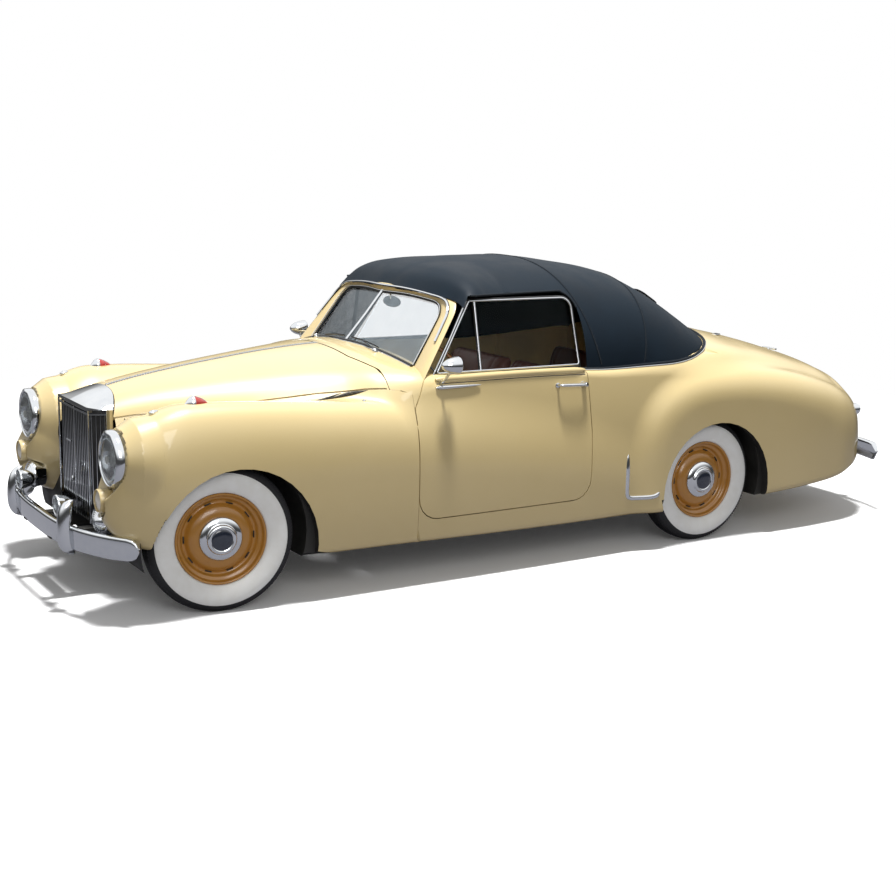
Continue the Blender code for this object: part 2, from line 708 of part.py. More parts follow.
def bonnet_half():
    """The left half of the bonnet, from the hinge strip out to the wing."""
    outer, inner = [], []
    for share in BONNET_SHARES:
        rear = COWL_FRONT
        for _ in range(4):
            rear = float(cowl_line(bonnet_point(rear - REAR_GAP, share)[0]))
        front = BONNET_FRONT - 0.055 * share * share
        stations = np.linspace(front, rear - REAR_GAP, BONNET_ROWS)
        outer.append([(s, *bonnet_point(s, share)) for s in stations])
        inner.append([(s, *bonnet_point(s, share, BONNET_SHEET)) for s in stations])
    rings = zip(*(outer + inner[::-1]))
    return loft("bonnet_left", [[place(x, s, z) for s, x, z in ring] for ring in rings], PAINT)


# ---------------------------------------------------------------- more shapes
def beam(name, rows, finish=None):
    """A bar through rectangles: station, half widths from and to, heights from and to."""
    rings = []
    for s, x_low, x_high, z_low, z_high in rows:
        rings.append([place(x_low, s, z_low), place(x_high, s, z_low),
                      place(x_high, s, z_high), place(x_low, s, z_high)])
    return loft(name, rings, finish)


def block(name, x_span, s_span, z_span, finish=None):
    """A box given by its spans of half width, station and height."""
    return box(name, place(x_span[0], s_span[0], z_span[0]),
               place(x_span[1], s_span[1], z_span[1]), finish)


def bar(name, start, end, radius, finish=None, end_radius=None, sides=16):
    """A round bar between two points given by half width, station and height."""
    return rod(name, place(*start), place(*end), radius, finish, end_radius, sides)


def hull_of(name, points, finish=None):
    """The convex solid round a few points given by half width, station and height."""
    bm = bmesh.new()
    for point in points:
        bm.verts.new(place(*point))
    made = bmesh.ops.convex_hull(bm, input=bm.verts)
    loose = [v for v in made["geom_interior"] + made["geom_unused"]
             if isinstance(v, bmesh.types.BMVert)]
    bmesh.ops.delete(bm, geom=loose, context="VERTS")
    return thing(name, mesh_of(bm, name), finish)


def joined(first, *others):
    """All the pieces as one solid."""
    for other in others:
        carve(first, other, "UNION")
    return first


def both_sides(pieces):
    """Pairs of a left piece and its name give the right ones too."""
    for item in pieces:
        mirrored(item, item.name.replace("left", "right"), item.data.materials[0].name)


def body_solid(front, rear, grow=SEAT):
    """The closed body between two stations, grown a little, to seat pieces on it."""
    return skin_solid("seat", [s for s in BODY_STATIONS if front <= s <= rear], grow)


# ---------------------------------------------------------------- front end
GRILLE_HALF = 0.222
GRILLE_FOOT, GRILLE_HEAD = 0.355, 0.900
GRILLE_FRONT, GRILLE_BACK = -0.450, -0.385
NOSE_FRONT, NOSE_BACK = -0.420, -0.362
FINS = 27


def nose_panel():
    """The body-coloured shell round the radiator grille."""
    side = [(float(bonnet_side(s)) - SEAT, s) for s in (NOSE_FRONT, -0.39, NOSE_BACK)]
    outline = side + [(-x, s) for x, s in side[::-1]]
    panel = prism("nose_panel", outline, 0.335, GRILLE_HEAD, upwards, PAINT)
    carve(panel, block("recess", (-GRILLE_HALF, GRILLE_HALF), (-0.6, GRILLE_BACK),
                       (GRILLE_FOOT, 1.0)))
    return panel


def radiator_grille():
    """Upright slats on a back plate, with a wider bar up the middle."""
    half = GRILLE_HALF - SEAT
    pitch = 2 * half / FINS
    outline = [(-half, GRILLE_BACK - SEAT), (half, GRILLE_BACK - SEAT)]
    for k in range(FINS):
        right = half - k * pitch
        middle = k == FINS // 2
        slat = 0.45 * pitch if not middle else 0.8 * pitch
        front = GRILLE_FRONT if not middle else GRILLE_FRONT - 0.008
        centre = right - pitch / 2
        outline += [(centre + slat / 2, GRILLE_FRONT + 0.016), (centre + slat / 2, front),
                    (centre - slat / 2, front), (centre - slat / 2, GRILLE_FRONT + 0.016)]
    outline[2] = (half, GRILLE_FRONT + 0.016)
    outline[-1] = (-half, GRILLE_FRONT + 0.016)
    return prism("radiator_grille", outline, GRILLE_FOOT + SEAT, GRILLE_HEAD, upwards, CHROME)


def radiator_cap():
    """The peaked cover over the grille, up to the front of the bonnet."""
    points = []
    for side in (1, -1):
        points += [(side * 0.228, -0.462, GRILLE_HEAD + SEAT), (side * 0.226, -0.462, 0.914),
                   (side * 0.258, -0.372, GRILLE_HEAD + SEAT), (side * 0.262, -0.372, 0.918),
                   (side * 0.235, -0.352, 0.935), (side * 0.17, -0.326, 0.958),
                   (side * 0.09, -0.310, 0.976), (side * 0.17, -0.326, GRILLE_HEAD + SEAT)]
    points += [(0, -0.474, GRILLE_HEAD + SEAT), (0, -0.474, 0.918),
               (0, -0.304, 0.990), (0, -0.304, GRILLE_HEAD + SEAT)]
    return hull_of("radiator_cap", points, CHROME)


def bonnet_hinge():
    """The strip the bonnet's two halves hang on."""
    rings = []
    for s in np.linspace(BONNET_FRONT - SEAT * 2, COWL_FRONT - SEAT, 8):
        top = float(hull_top(s)) + 0.002
        rings.append([place(x, s, z) for x, z in (
            (HINGE_STRIP, top - 0.032), (HINGE_STRIP, top), (-HINGE_STRIP, top),
            (-HINGE_STRIP, top - 0.032))])
    return loft("bonnet_hinge", rings, CHROME)


# name, half width, station, height, radius of the bowl, of the rim, how far it goes in
LAMPS = {
    "headlamp_left": (0.647, -0.490, 0.755, 0.130, 0.138, 0.045),
    "pass_lamp_left": (0.614, -0.545, 0.550, 0.058, 0.062, 0.045),
    "horn_left": (0.529, -0.515, 0.440, 0.066, 0.071, 0.085),
}
LAMP_SIDES = 20
LAMP_POD = (0.1385, (0.660, -0.300, 0.745), 0.120)     # radius, where it dies out, radius there


def lamp(name, bowl_finish):
    """A round lamp sunk into the wing: bowl, rim and a bulging front."""
    x, s, z, bowl, rim, depth = LAMPS[name]
    profile = [(0.0, -depth), (bowl, -depth), (bowl, 0.0), (rim, 0.0), (rim, 0.012),
               (0.88 * rim, 0.026), (0.55 * rim, 0.039), (0.0, 0.046)]
    return turned(name, profile, place(x, s, z), (0, -1, 0), bowl_finish, LAMP_SIDES)


def lamp_seat(name):
    """The hole a lamp sits in, reaching forward past the wing's skin."""
    x, s, z, bowl, rim, depth = LAMPS[name]
    bowl_hole = bar("bowl_hole", (x, s - 0.02, z), (x, s + depth + SEAT, z),
                    bowl + SEAT, sides=LAMP_SIDES)
    rim_hole = bar("rim_hole", (x, s, z), (x, s - 0.09, z), rim + SEAT, None, rim + 0.06,
                   LAMP_SIDES)
    return carve(bowl_hole, rim_hole, "UNION")


def front_bumper():
    """A bowed blade with two overriders, each with a small lamp inboard."""
    rings = []
    half = (0.0, 0.17, 0.34, 0.52, 0.66, 0.76, 0.79, 0.812)
    for x in [-x for x in half[:0:-1]] + list(half):
        s = -0.652 + 0.222 * (abs(x) / 0.812) ** 3.2
        slope = 0.222 * 3.2 * (abs(x) / 0.812) ** 2.2 / 0.812 * (1 if x > 0 else -1)
        out = Vector((slope, -1)).normalized()
        deep = 0.7 if abs(x) > 0.80 else 1.0
        flange = 0.024 if abs(x) < 0.5 else 0.008
        ring = []
        for forward, z in ((-flange, 0.405), (0.0, 0.412), (0.008 * deep, 0.400),
                           (0.008 * deep, 0.372), (0.004, 0.318), (-0.004, 0.300),
                           (-0.010, 0.318), (-0.007, 0.392)):
            ring.append(place(x + out.x * forward, s + out.y * forward, z))
        rings.append(ring)
    blade = loft("front_bumper", rings, CHROME)
    for side in (1, -1):
        outline = rounded([(-0.68, 0.27), (-0.61, 0.27), (-0.61, 0.545), (-0.668, 0.545)],
                          [0.030, 0.008, 0.020, 0.028], 4)
        carve(blade, prism("overrider", outline, side * 0.385, side * 0.445, sideways), "UNION")
        arm = beam("arm", [(-0.648, side * 0.175, side * 0.225, 0.305, 0.333),
                           (-0.60 - SEAT, side * 0.175, side * 0.225, 0.265, 0.333)])
        carve(blade, arm, "UNION")
        stalk = bar("stalk", (side * 0.40, -0.62, 0.482), (side * 0.312, -0.60, 0.482), 0.010)
        carve(blade, stalk, "UNION")
        bowl = turned("bowl", [(0, -0.075), (0.02, -0.07), (0.045, -0.035), (0.052, 0.0),
                               (0.050, 0.008), (0, 0.016)],
                      place(side * 0.312, -0.640, 0.482), (0, -1, 0), sides=20)
        carve(blade, bowl, "UNION")
    return even(blade)


def rear_bumper():
    """A bowed blade on two arms from the tail."""
    rings = []
    for x in (-0.75, -0.72, -0.64, -0.50, -0.34, -0.17, 0.0, 0.17, 0.34, 0.50, 0.64, 0.72, 0.75):
        s = 4.412 - 0.105 * (abs(x) / 0.75) ** 3.2
        rings.append([place(x, s + back, z) for back, z in (
            (-0.016, 0.425), (0.0, 0.432), (0.008, 0.420), (0.008, 0.375), (0.002, 0.345),
            (-0.012, 0.350))])
    blade = loft("rear_bumper", rings, CHROME)
    for side in (1, -1):
        arm = beam("arm", [(4.402, side * 0.25, side * 0.30, 0.395, 0.420),
                           (TAIL_END + SEAT, side * 0.25, side * 0.30, 0.395, 0.420)])
        carve(blade, arm, "UNION")
        outline = rounded([(4.39, 0.31), (4.42, 0.33), (4.42, 0.50), (4.39, 0.52)],
                          [0.005, 0.015, 0.018, 0.005], 3)
        carve(blade, prism("overrider", outline, side * 0.34, side * 0.39, sideways), "UNION")
    return even(blade)


# ---------------------------------------------------------------- windscreen
# base and top of the pillar's four edges, and the same edges of the header at the middle
SCREEN_EDGES = (
    ((0.575, 1.085, 1.060), (0.535, 1.295, 1.365), (0.0, 1.232, 1.390)),
    ((0.700, 1.060, 1.045), (0.600, 1.305, 1.385), (0.0, 1.225, 1.425)),
    ((0.735, 1.075, 1.035), (0.625, 1.345, 1.400), (0.0, 1.290, 1.450)),
    ((0.660, 1.100, 1.050), (0.570, 1.330, 1.385), (0.0, 1.280, 1.400)),
)


def screen_frame(name, finish=None):
    """Pillars and header in one sweep from base to base."""
    path = [(0, 1, -0.16)] + [(0, 1, t) for t in (0.35, 0.7)] + [(1, 2, t) for t in (0, 0.25, 0.6)]
    half = []
    for a, b, t in path:
        ring = [Vector(edge[a]).lerp(Vector(edge[b]), t) for edge in SCREEN_EDGES]
        if a == 1:
            ring = [Vector((v.x, v.y, v.z + 0.012 * math.sin(math.pi * t))) for v in ring]
        half.append(ring)
    middle = [Vector(edge[2]) for edge in SCREEN_EDGES]
    rings = half + [middle] + [[Vector((-v.x, v.y, v.z)) for v in r] for r in half[::-1]]
    return loft(name, [[place(*v) for v in ring] for ring in rings], finish)


def windscreen_surround():
    frame = screen_frame("windscreen_surround", PAINT)
    carve(frame, body_solid(0.8, 1.4))
    for side in (1, -1):
        carve(frame, block("over_door", (side * 0.655, side * 0.9), (0.9, 1.3), (0.9, 1.060)))
    return even(frame)


def windscreen_glass():
    """Two flat panes that meet in a shallow V."""
    base, top = (0.64, 1.088, 1.030), (0.577, 1.318, 1.381)
    middle_base, middle_top = (0.0, 1.018, 1.100), (0.0, 1.250, 1.412)
    rings = []
    for low, high, side in ((base, top, -1), (middle_base, middle_top, 1), (base, top, 1)):
        ring = []
        for point, back in ((low, 0.0), (high, 0.0), (high, 0.005), (low, 0.005)):
            ring.append(place(side * point[0], point[1] + back, point[2]))
        rings.append(ring)
    pane = loft("windscreen_glass", rings, GLASS)
    carve(pane, fattened(screen_frame("frame"), SEAT * 2))
    carve(pane, body_solid(0.8, 1.4))
    return even(pane)


# ---------------------------------------------------------------- door furniture
WINDOW_OUTLINE = rounded([(1.118, 1.010), (2.045, 1.010), (2.022, 1.402), (1.372, 1.402)],
                         [0.0, 0.0, 0.070, 0.010])
WINDOW_HOLE = rounded([(1.151, 1.048), (2.028, 1.048), (2.008, 1.388), (1.380, 1.388)],
                      [0.006, 0.006, 0.058, 0.006])
QUARTER_BAR = ((1.416, 0.008), (1.060, 1.398))         # station and half width, heights


def tilted(side):
    """The plane of the side windows: outline in station and height, w outwards."""
    def lay(u, v, w):
        return place(side * (0.700 - 0.236 * (v - 1.03) + w), u, v)
    return lay


def window_frame(side, name):
    lay = tilted(side)
    frame = prism(name, WINDOW_OUTLINE, -0.006, 0.006, lay, CHROME)
    s, half = QUARTER_BAR[0]
    left = [(u, v) for u, v in WINDOW_HOLE if u < s]
    right = [(u, v) for u, v in WINDOW_HOLE if u > s]
    slope = (1.380 - 1.151) / (1.388 - 1.048)
    front = left[:0] + [(1.155, 1.048), (s - half, 1.048), (s - half, 1.388), (1.382, 1.388)]
    rear = [(s + half, 1.048)] + [p for p in right if p[0] > s + half] + [(s + half, 1.388)]
    carve(frame, prism("front_hole", front, -0.02, 0.02, lay))
    carve(frame, prism("rear_hole", rear, -0.02, 0.02, lay))
    carve(frame, body_solid(0.9, 2.4))
    return frame


def door_glass(side, name):
    pane = prism(name, rounded([(1.138, 1.020), (2.036, 1.020), (2.014, 1.395), (1.377, 1.395)],
                               [0.0, 0.0, 0.062, 0.006]),
                 -0.0103, -0.0063, tilted(side), GLASS)
    carve(pane, body_solid(0.9, 2.4))
    return pane


def door_handle():
    grip = bar("door_handle_left", (0.806, 1.845, 0.956), (0.806, 2.028, 0.950), 0.009, CHROME)
    for s in (1.862, 2.012):
        carve(grip, bar("post", (0.74, s, 0.953), (0.806, s, 0.953), 0.007, sides=12), "UNION")
    carve(grip, body_solid(1.4, 2.4))
    return grip


def mirror():
    """A bullet-shaped mirror on a stalk from the belt."""
    shell = turned("mirror_left", [(0, -0.062), (0.018, -0.052), (0.034, -0.026), (0.042, 0.008),
                                   (0.045, 0.030), (0.040, 0.036), (0, 0.036)],
                   place(0.852, 1.154, 1.105), (0, 1, 0), CHROME, sides=20)
    carve(shell, bar("stalk", (0.735, 1.150, 1.000), (0.848, 1.150, 1.085), 0.008, sides=12),
          "UNION")
    carve(shell, body_solid(0.9, 1.6))
    return shell


def stone_guard():
    outline = [(2.300, 0.300), (2.520, 0.300), (2.450, 0.322), (2.350, 0.335), (2.335, 0.360),
               (2.328, 0.557), (2.304, 0.557)]
    plate = prism("stone_guard_left", outline, 0.79, 0.8405, sideways, CHROME)
    carve(plate, body_solid(2.0, 2.8, SEAT * 3))
    return plate


def tail_lamp():
    return turned("tail_lamp_left", [(0, -0.045), (0.034, -0.045), (0.034, 0.0), (0.030, 0.016),
                                     (0.018, 0.024), (0, 0.026)],
                  place(0.640, 4.205, 0.645), (0, 1, 0), RED, sides=20)


# ---------------------------------------------------------------- soft top
TOP_BASE = 0.735
TOP_SQUARE = 2.5               # how square its section is
TOP_SHEET = 0.020
# station, height on the centreline
TOP_LINE = (
    (1.235, 1.418), (1.300, 1.490), (1.370, 1.530), (1.480, 1.556), (1.650, 1.571),
    (1.890, 1.579), (2.180, 1.558), (2.430, 1.518), (2.600, 1.470), (2.750, 1.405),
    (2.880, 1.325), (2.990, 1.248), (3.080, 1.190), (3.150, 1.145), (3.205, 1.105))
top_line = curve(TOP_LINE, 1)
WINDOW_WAY = rounded([(1.00, 0.80), (2.070, 0.80), (2.048, 1.420), (1.362, 1.420),
                      (1.08, 1.03)], [0.0, 0.0, 0.085, 0.012, 0.0])


def top_half(s):
    """Half width of the soft top's base."""
    run = np.clip((s - 2.4) / 0.83, 0.0, 0.9999)
    return TOP_BASE * (1 - run ** 3) ** (1 / 3)


def dome(name, shell, finish=None):
    """A closed solid under the top's outer surface, moved inwards by shell."""
    rings = []
    slope = np.gradient([row[1] for row in TOP_LINE], [row[0] for row in TOP_LINE])
    rows = list(TOP_LINE)
    if shell:
        rows[0] = (rows[0][0] - 0.05, rows[0][1])
    for (s, height), tilt in zip(rows, slope):
        half = float(top_half(s)) - shell
        height -= shell * math.sqrt(1 + tilt * tilt)
        ahead = float(np.clip((1.65 - s) / 0.41, 0.0, 1.0))
        base = 0.95 + 0.25 * ahead
        square = TOP_SQUARE + 1.7 * ahead
        ring = []
        for k in range(TOP_STEPS + 1):
            turn = math.pi * k / TOP_STEPS
            x = half * math.copysign(abs(math.cos(turn)) ** (2 / square), math.cos(turn))
            rise = abs(math.sin(turn)) ** (2 / square)
            front = max(0.0, (1.48 - s) / 0.245)
            swept = s + 0.085 * min(abs(x) / 0.6, 1.0) ** 2 * front
            ring.append(place(x, swept, base + (height - base) * rise))
        rings.append(ring)
    return loft(name, rings, finish)


def soft_top():
    """The raised fabric top, one closed shell, open over the doors."""
    top = dome("soft_top", 0.0, FABRIC)
    carve(top, dome("inside", TOP_SHEET))
    carve(top, body_solid(0.8, 3.7))
    carve(top, fattened(screen_frame("frame"), SEAT * 2))
    carve(top, prism("window_way", WINDOW_WAY, 0.50, 1.0, sideways))
    carve(top, prism("rear_light", REAR_LIGHT, -0.10, 0.10, rear_plane))
    return even(top)


TOP_STEPS = 16
REAR_LIGHT = rounded([(-0.27, -0.060), (0.27, -0.060), (0.25, 0.075), (-0.25, 0.075)],
                     [0.035] * 4)


def rear_plane(u, v, w):
    """The plane of the rear window: u across, v up the slope, w outwards."""
    return place(u, 2.855 - 0.80 * v + 0.60 * w, 1.333 + 0.60 * v + 0.80 * w)


def rear_window():
    return prism("rear_window", grown(REAR_LIGHT, -SEAT), -0.007, -0.002, rear_plane, GLASS)


# ---------------------------------------------------------------- boot lid
LID_HINGE = 3.36


def boot_lid():
    stations = [s for s in BODY_STATIONS if 3.2 < s < 4.3]
    lid = skin_solid("boot_lid", stations, finish=PAINT)
    carve(lid, prism("lid", LID_OUTLINE, 0.7, 1.4, upwards), "INTERSECT")
    under = skin_solid("under", stations)
    under.location = (0, 0, -LID_SHEET)
    carve(lid, under)
    top = skin_height(0.25, LID_HINGE + 0.01)
    for side in (1, -1):
        leaf = block("leaf", (side * 0.22, side * 0.28),
                     (LID_HINGE - SHUT_GAP + SEAT, LID_HINGE + 0.02), (top - 0.022, top - 0.004))
        carve(lid, leaf, "UNION")
    return set_origin(even(lid), place(0, LID_HINGE - SHUT_GAP, top))


# ---------------------------------------------------------------- cabin
def front_seat():
    outline = [(1.50, FLOOR_TOP + SEAT), (2.05, FLOOR_TOP + SEAT), (2.16, 0.97), (2.06, 1.00),
               (1.93, 0.64), (1.52, 0.60)]
    seat = prism("front_seat", outline, -0.62, 0.62, sideways, LEATHER)
    carve(seat, block("split", (-0.015, 0.015), (1.40, 2.30), (0.56, 1.10)))
    return seat


def rear_seat():
    outline = [(2.28, FLOOR_TOP + SEAT), (2.42 - SEAT, FLOOR_TOP + SEAT),
               (2.42 - SEAT, REAR_FLOOR + SEAT), (2.80 - SEAT, REAR_FLOOR + SEAT),
               (2.80 - SEAT, 0.975), (2.71, 0.99), (2.62, 0.66), (2.28, 0.61)]
    return prism("rear_seat", outline, -0.5297, 0.5297, sideways, LEATHER)


WHEEL_CENTRE = (0.36, 1.43, 0.945)     # steering wheel: half width, station, height
COLUMN_TILT = math.radians(24.0)
COLUMN_START = 0.150           # distance from the steering wheel to the column's boss


def column_axis():
    return Vector((0.0, math.cos(COLUMN_TILT), math.sin(COLUMN_TILT)))


def dashboard():
    panel = block("dashboard", (-0.60, 0.60), (CABIN_FRONT + SEAT, 1.20), (0.84, 1.03), TRIM)
    hub = Vector(place(*WHEEL_CENTRE))
    boss = rod("boss", hub - column_axis() * 0.30, hub - column_axis() * COLUMN_START, 0.028)
    carve(panel, boss, "UNION")
    carve(panel, block("front", (-0.7, 0.7), (1.0, CABIN_FRONT + SEAT), (0.5, 1.2)))
    return panel


def steering_wheel():
    hub, axis = Vector(place(*WHEEL_CENTRE)), column_axis()
    ring = [(0.200 + 0.012 * math.cos(math.radians(a)), 0.012 * math.sin(math.radians(a)))
            for a in range(0, 360, 60)]
    end = -COLUMN_START + SEAT
    wheel = turned("steering_wheel", [(0, end), (0.016, end), (0.016, -0.030), (0.032, -0.024),
                                      (0.032, 0.006), (0, 0.010)], hub, axis, TRIM, sides=14)
    for k in range(3):
        spoke = Matrix.Rotation(math.radians(90 + 120 * k), 3, axis) @ Vector((1, 0, 0))
        start = hub + spoke * 0.020 - axis * 0.010
        carve(wheel, rod("spoke", start, hub + spoke * 0.200, 0.007, sides=8), "UNION")
    carve(wheel, turned("ring", ring, hub, axis, sides=28), "UNION")
    return set_origin(wheel, hub)


# ---------------------------------------------------------------- running gear
RAIL_TOP = FLOOR_UNDER - SEAT
ENGINE_FOOT = 0.40


def chassis_frame():
    rails = []
    for side in (1, -1):
        rows = [(-0.60, 0.17, 0.23, 0.262, RAIL_TOP), (-0.16, 0.17, 0.23, 0.245, RAIL_TOP),
                (0.22, 0.30, 0.36, 0.245, RAIL_TOP), (2.505, 0.30, 0.36, 0.245, RAIL_TOP),
                (2.68, 0.30, 0.36, 0.42, 0.50), (3.10, 0.30, 0.36, 0.42, 0.50),
                (3.295, 0.30, 0.36, 0.245, RAIL_TOP), (3.48, 0.30, 0.36, 0.250, RAIL_TOP)]
        rails.append(beam("chassis_frame" if side > 0 else "rail",
                          [(s, side * a, side * b, c, d) for s, a, b, c, d in rows],
                          STEEL if side > 0 else None))
    cross = [block("cross", (-0.20, 0.20), (-0.59, -0.53), (0.270, 0.330)),
             block("cross", (-0.33, 0.33), (0.15, 0.25), (0.260, ENGINE_FOOT - SEAT)),
             block("cross", (-0.33, 0.33), (0.62, 0.72), (0.260, ENGINE_FOOT - SEAT)),
             block("cross", (-0.33, 0.33), (1.55, 1.63), (0.255, 0.330)),
             block("cross", (-0.33, 0.33), (2.38, 2.46), (0.255, 0.330)),
             block("cross", (-0.33, 0.33), (3.41, 3.47), (0.260, 0.325))]
    return joined(rails[0], rails[1], *cross)


KINGPIN = 0.605                # half width of the steering axes
ARM_HEIGHTS = (0.240, 0.450)   # of the kingpin's ends


def front_suspension():
    """A crossmember under the rails, with two arms to each side."""
    member = block("front_suspension", (-0.36, 0.36), (-0.07, 0.07), (0.165, 0.245 - SEAT), STEEL)
    low, high = ARM_HEIGHTS
    for side in (1, -1):
        tower = block("tower", (side * 0.305, side * 0.355), (-0.05, 0.05), (0.20, 0.485))
        carve(member, tower, "UNION")
        for z in (low - 0.018, high + 0.018):
            arm = bar("arm", (side * 0.33, 0.0, z), (side * KINGPIN, 0.0, z), 0.014, sides=12)
            carve(member, arm, "UNION")
        carve(member, bar("foot", (side * KINGPIN, 0, low - 0.034),
                          (side * KINGPIN, 0, low - SEAT), 0.024, sides=16), "UNION")
        carve(member, bar("head", (side * KINGPIN, 0, high + SEAT),
                          (side * KINGPIN, 0, high + 0.034), 0.024, sides=16), "UNION")
    return member


def steered(item, side):
    """Turn a front piece to where the steering is parked, about its kingpin."""
    pivot = Vector(place(side * KINGPIN, 0.0, TYRE_RADIUS))
    turn = (Matrix.Translation(pivot) @ Matrix.Rotation(-STEER_AT_REST, 4, "Z")
            @ Matrix.Translation(-pivot))
    item.data.transform(turn)
    return item


def knuckle(side, name):
    low, high = ARM_HEIGHTS
    post = bar(name, (side * KINGPIN, 0, low), (side * KINGPIN, 0, high), 0.020, STEEL)
    stub = bar("stub", (side * KINGPIN, 0, TYRE_RADIUS),
               (side * (TRACK / 2 - SEAT), 0, TYRE_RADIUS), 0.024)
    drum = bar("drum", (side * 0.645, 0, TYRE_RADIUS),
               (side * (TRACK / 2 - SEAT), 0, TYRE_RADIUS), 0.140, sides=24)
    made = steered(joined(post, stub, drum), side)
    return set_origin(made, place(side * KINGPIN, 0, TYRE_RADIUS))


def rear_axle():
    s = DRAWN_WHEELBASE
    tube = bar("rear_axle", (-TRACK / 2 + SEAT, s, TYRE_RADIUS), (TRACK / 2 - SEAT, s, TYRE_RADIUS),
               0.034, STEEL)
    parts = [turned("diff", [(0, -0.13), (0.07, -0.12), (0.125, -0.05), (0.125, 0.05),
                             (0.07, 0.11), (0, 0.12)],
                    place(0, s, TYRE_RADIUS), (0, 1, 0), sides=20)]
    for side in (1, -1):
        parts.append(block("pad", (side * 0.30, side * 0.36), (s - 0.05, s + 0.05),
                           (TYRE_RADIUS - 0.02, 0.42 - SEAT)))
        parts.append(bar("drum", (side * 0.630, s, TYRE_RADIUS),
                         (side * (TRACK / 2 - SEAT), s, TYRE_RADIUS), 0.140, sides=24))
    return joined(tube, *parts)


# radius and distance outwards from the hub's face
WHEEL_PROFILE = [
    (0.0, 0.0), (0.150, 0.0), (0.198, 0.010), (0.204, -0.058),
    (RIM_RADIUS - SEAT, -0.060), (RIM_RADIUS - SEAT, 0.060), (0.200, 0.056),
    (0.192, 0.036), (0.132, 0.038), (0.122, 0.060), (0.070, 0.082), (0.0, 0.086)]
TYRE_PROFILE = [
    (RIM_RADIUS, -0.058), (0.240, -0.074), (0.286, -TYRE_WIDTH / 2), (0.330, -0.064),
    (TYRE_RADIUS, -0.034), (TYRE_RADIUS, 0.034), (0.330, 0.064), (0.286, TYRE_WIDTH / 2),
    (0.240, 0.074), (RIM_RADIUS, 0.058)]
WHEEL_SIDES = 28


def wheel_and_tyre(side, s, where):
    hub = place(side * TRACK / 2, s, TYRE_RADIUS)
    made = []
    for name, profile, finish in (("wheel_" + where, WHEEL_PROFILE, OCHRE),
                                  ("tyre_" + where, TYRE_PROFILE, RUBBER)):
        flats = [(radius / math.cos(math.pi / WHEEL_SIDES), d) for radius, d in profile]
        item = turned(name, flats, hub, (side, 0, 0), finish, WHEEL_SIDES, 0.5)
        if s == 0.0:
            steered(item, side)
            centre = Vector(place(side * KINGPIN, 0, TYRE_RADIUS))
            reach = Vector(hub) - centre
            set_origin(item, centre + Matrix.Rotation(-STEER_AT_REST, 3, "Z") @ reach)
        else:
            set_origin(item, hub)
        made.append(item)
    return made


# ---------------------------------------------------------------- the whole car
def build():
    body_tub()
    tail_lamps_and_boot()
    doors()
    wing = front_wing_panel()
    bonnet = bonnet_half()
    both_sides([wing, bonnet])
    nose_panel()
    radiator_grille()
    radiator_cap()
    bonnet_hinge()
    lamps = [lamp("headlamp_left", CHROME), lamp("pass_lamp_left", LENS),
             lamp("horn_left", CHROME), stone_guard()]
    both_sides(lamps)
    front_bumper()
    rear_bumper()
    windscreen_surround()
    windscreen_glass()
    soft_top()
    rear_window()
    front_seat()
    rear_seat()
    dashboard()
    steering_wheel()
    block("engine_block", (-0.20, 0.20), (0.05, 0.75), (ENGINE_FOOT, 0.85), STEEL)
    chassis_frame()
    front_suspension()
    knuckle(1, "knuckle_left")
    knuckle(-1, "knuckle_right")
    rear_axle()
    for side, word in ((1, "left"), (-1, "right")):
        wheel_and_tyre(side, 0.0, "front_" + word)
        wheel_and_tyre(side, DRAWN_WHEELBASE, "rear_" + word)


def tail_lamps_and_boot():
    boot_lid()
    both_sides([tail_lamp()])


def doors():
    both_sides([door("door_left", 1), window_frame(1, "window_frame_left"),
                door_glass(1, "door_glass_left"), door_handle(), mirror()])


build()
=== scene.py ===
# %% [markdown]
# # A two-door drophead coupe of about 1950, in cream enamel with its top up
#
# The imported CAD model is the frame: it says where every panel, hinge and wheel is. This
# file dresses that frame as the real car is finished: enamel over pressed steel, chromium
# plate, canvas, hide, whitewall tyres. Each step says what the piece is on the real car,
# how it could be made in Blender, and why one way was picked.
#
# The car faces -Y with its left side at +X, and a *station* is a distance in metres
# behind the front axle, because that is how coachbuilders draw a body.

# %% Load the frame
import math

import bmesh
import bpy
import numpy as np
from mathutils import Matrix, Vector


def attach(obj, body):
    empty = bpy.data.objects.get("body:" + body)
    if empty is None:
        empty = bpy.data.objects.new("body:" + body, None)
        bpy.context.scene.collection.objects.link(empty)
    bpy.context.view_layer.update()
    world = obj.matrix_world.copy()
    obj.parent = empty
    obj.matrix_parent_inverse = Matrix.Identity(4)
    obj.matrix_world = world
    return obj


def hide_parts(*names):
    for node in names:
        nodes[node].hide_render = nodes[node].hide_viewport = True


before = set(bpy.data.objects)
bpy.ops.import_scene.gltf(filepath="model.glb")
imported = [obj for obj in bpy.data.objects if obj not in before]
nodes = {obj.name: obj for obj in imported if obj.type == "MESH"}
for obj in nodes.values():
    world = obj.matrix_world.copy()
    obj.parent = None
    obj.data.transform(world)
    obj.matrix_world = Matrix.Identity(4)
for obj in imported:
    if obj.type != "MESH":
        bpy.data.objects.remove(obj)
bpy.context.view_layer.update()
FRONT_AXLE = -1.87             # Y of station 0
TYRE_RADIUS = 0.352

# %% [markdown]
# ## Small tools
# Blender wants linear colour, but people know colours as sRGB hex. One function converts
# them, and one adds a node with its settings and links, so that a material reads as a
# short recipe.

# %% Colour and node helpers
def hex_colour(text):
    """An sRGB hex value as linear RGBA."""
    parts = [int(text[i:i + 2], 16) / 255 for i in (1, 3, 5)]
    return tuple(p / 12.92 if p <= 0.04045 else ((p + 0.055) / 1.055) ** 2.4
                 for p in parts) + (1.0,)


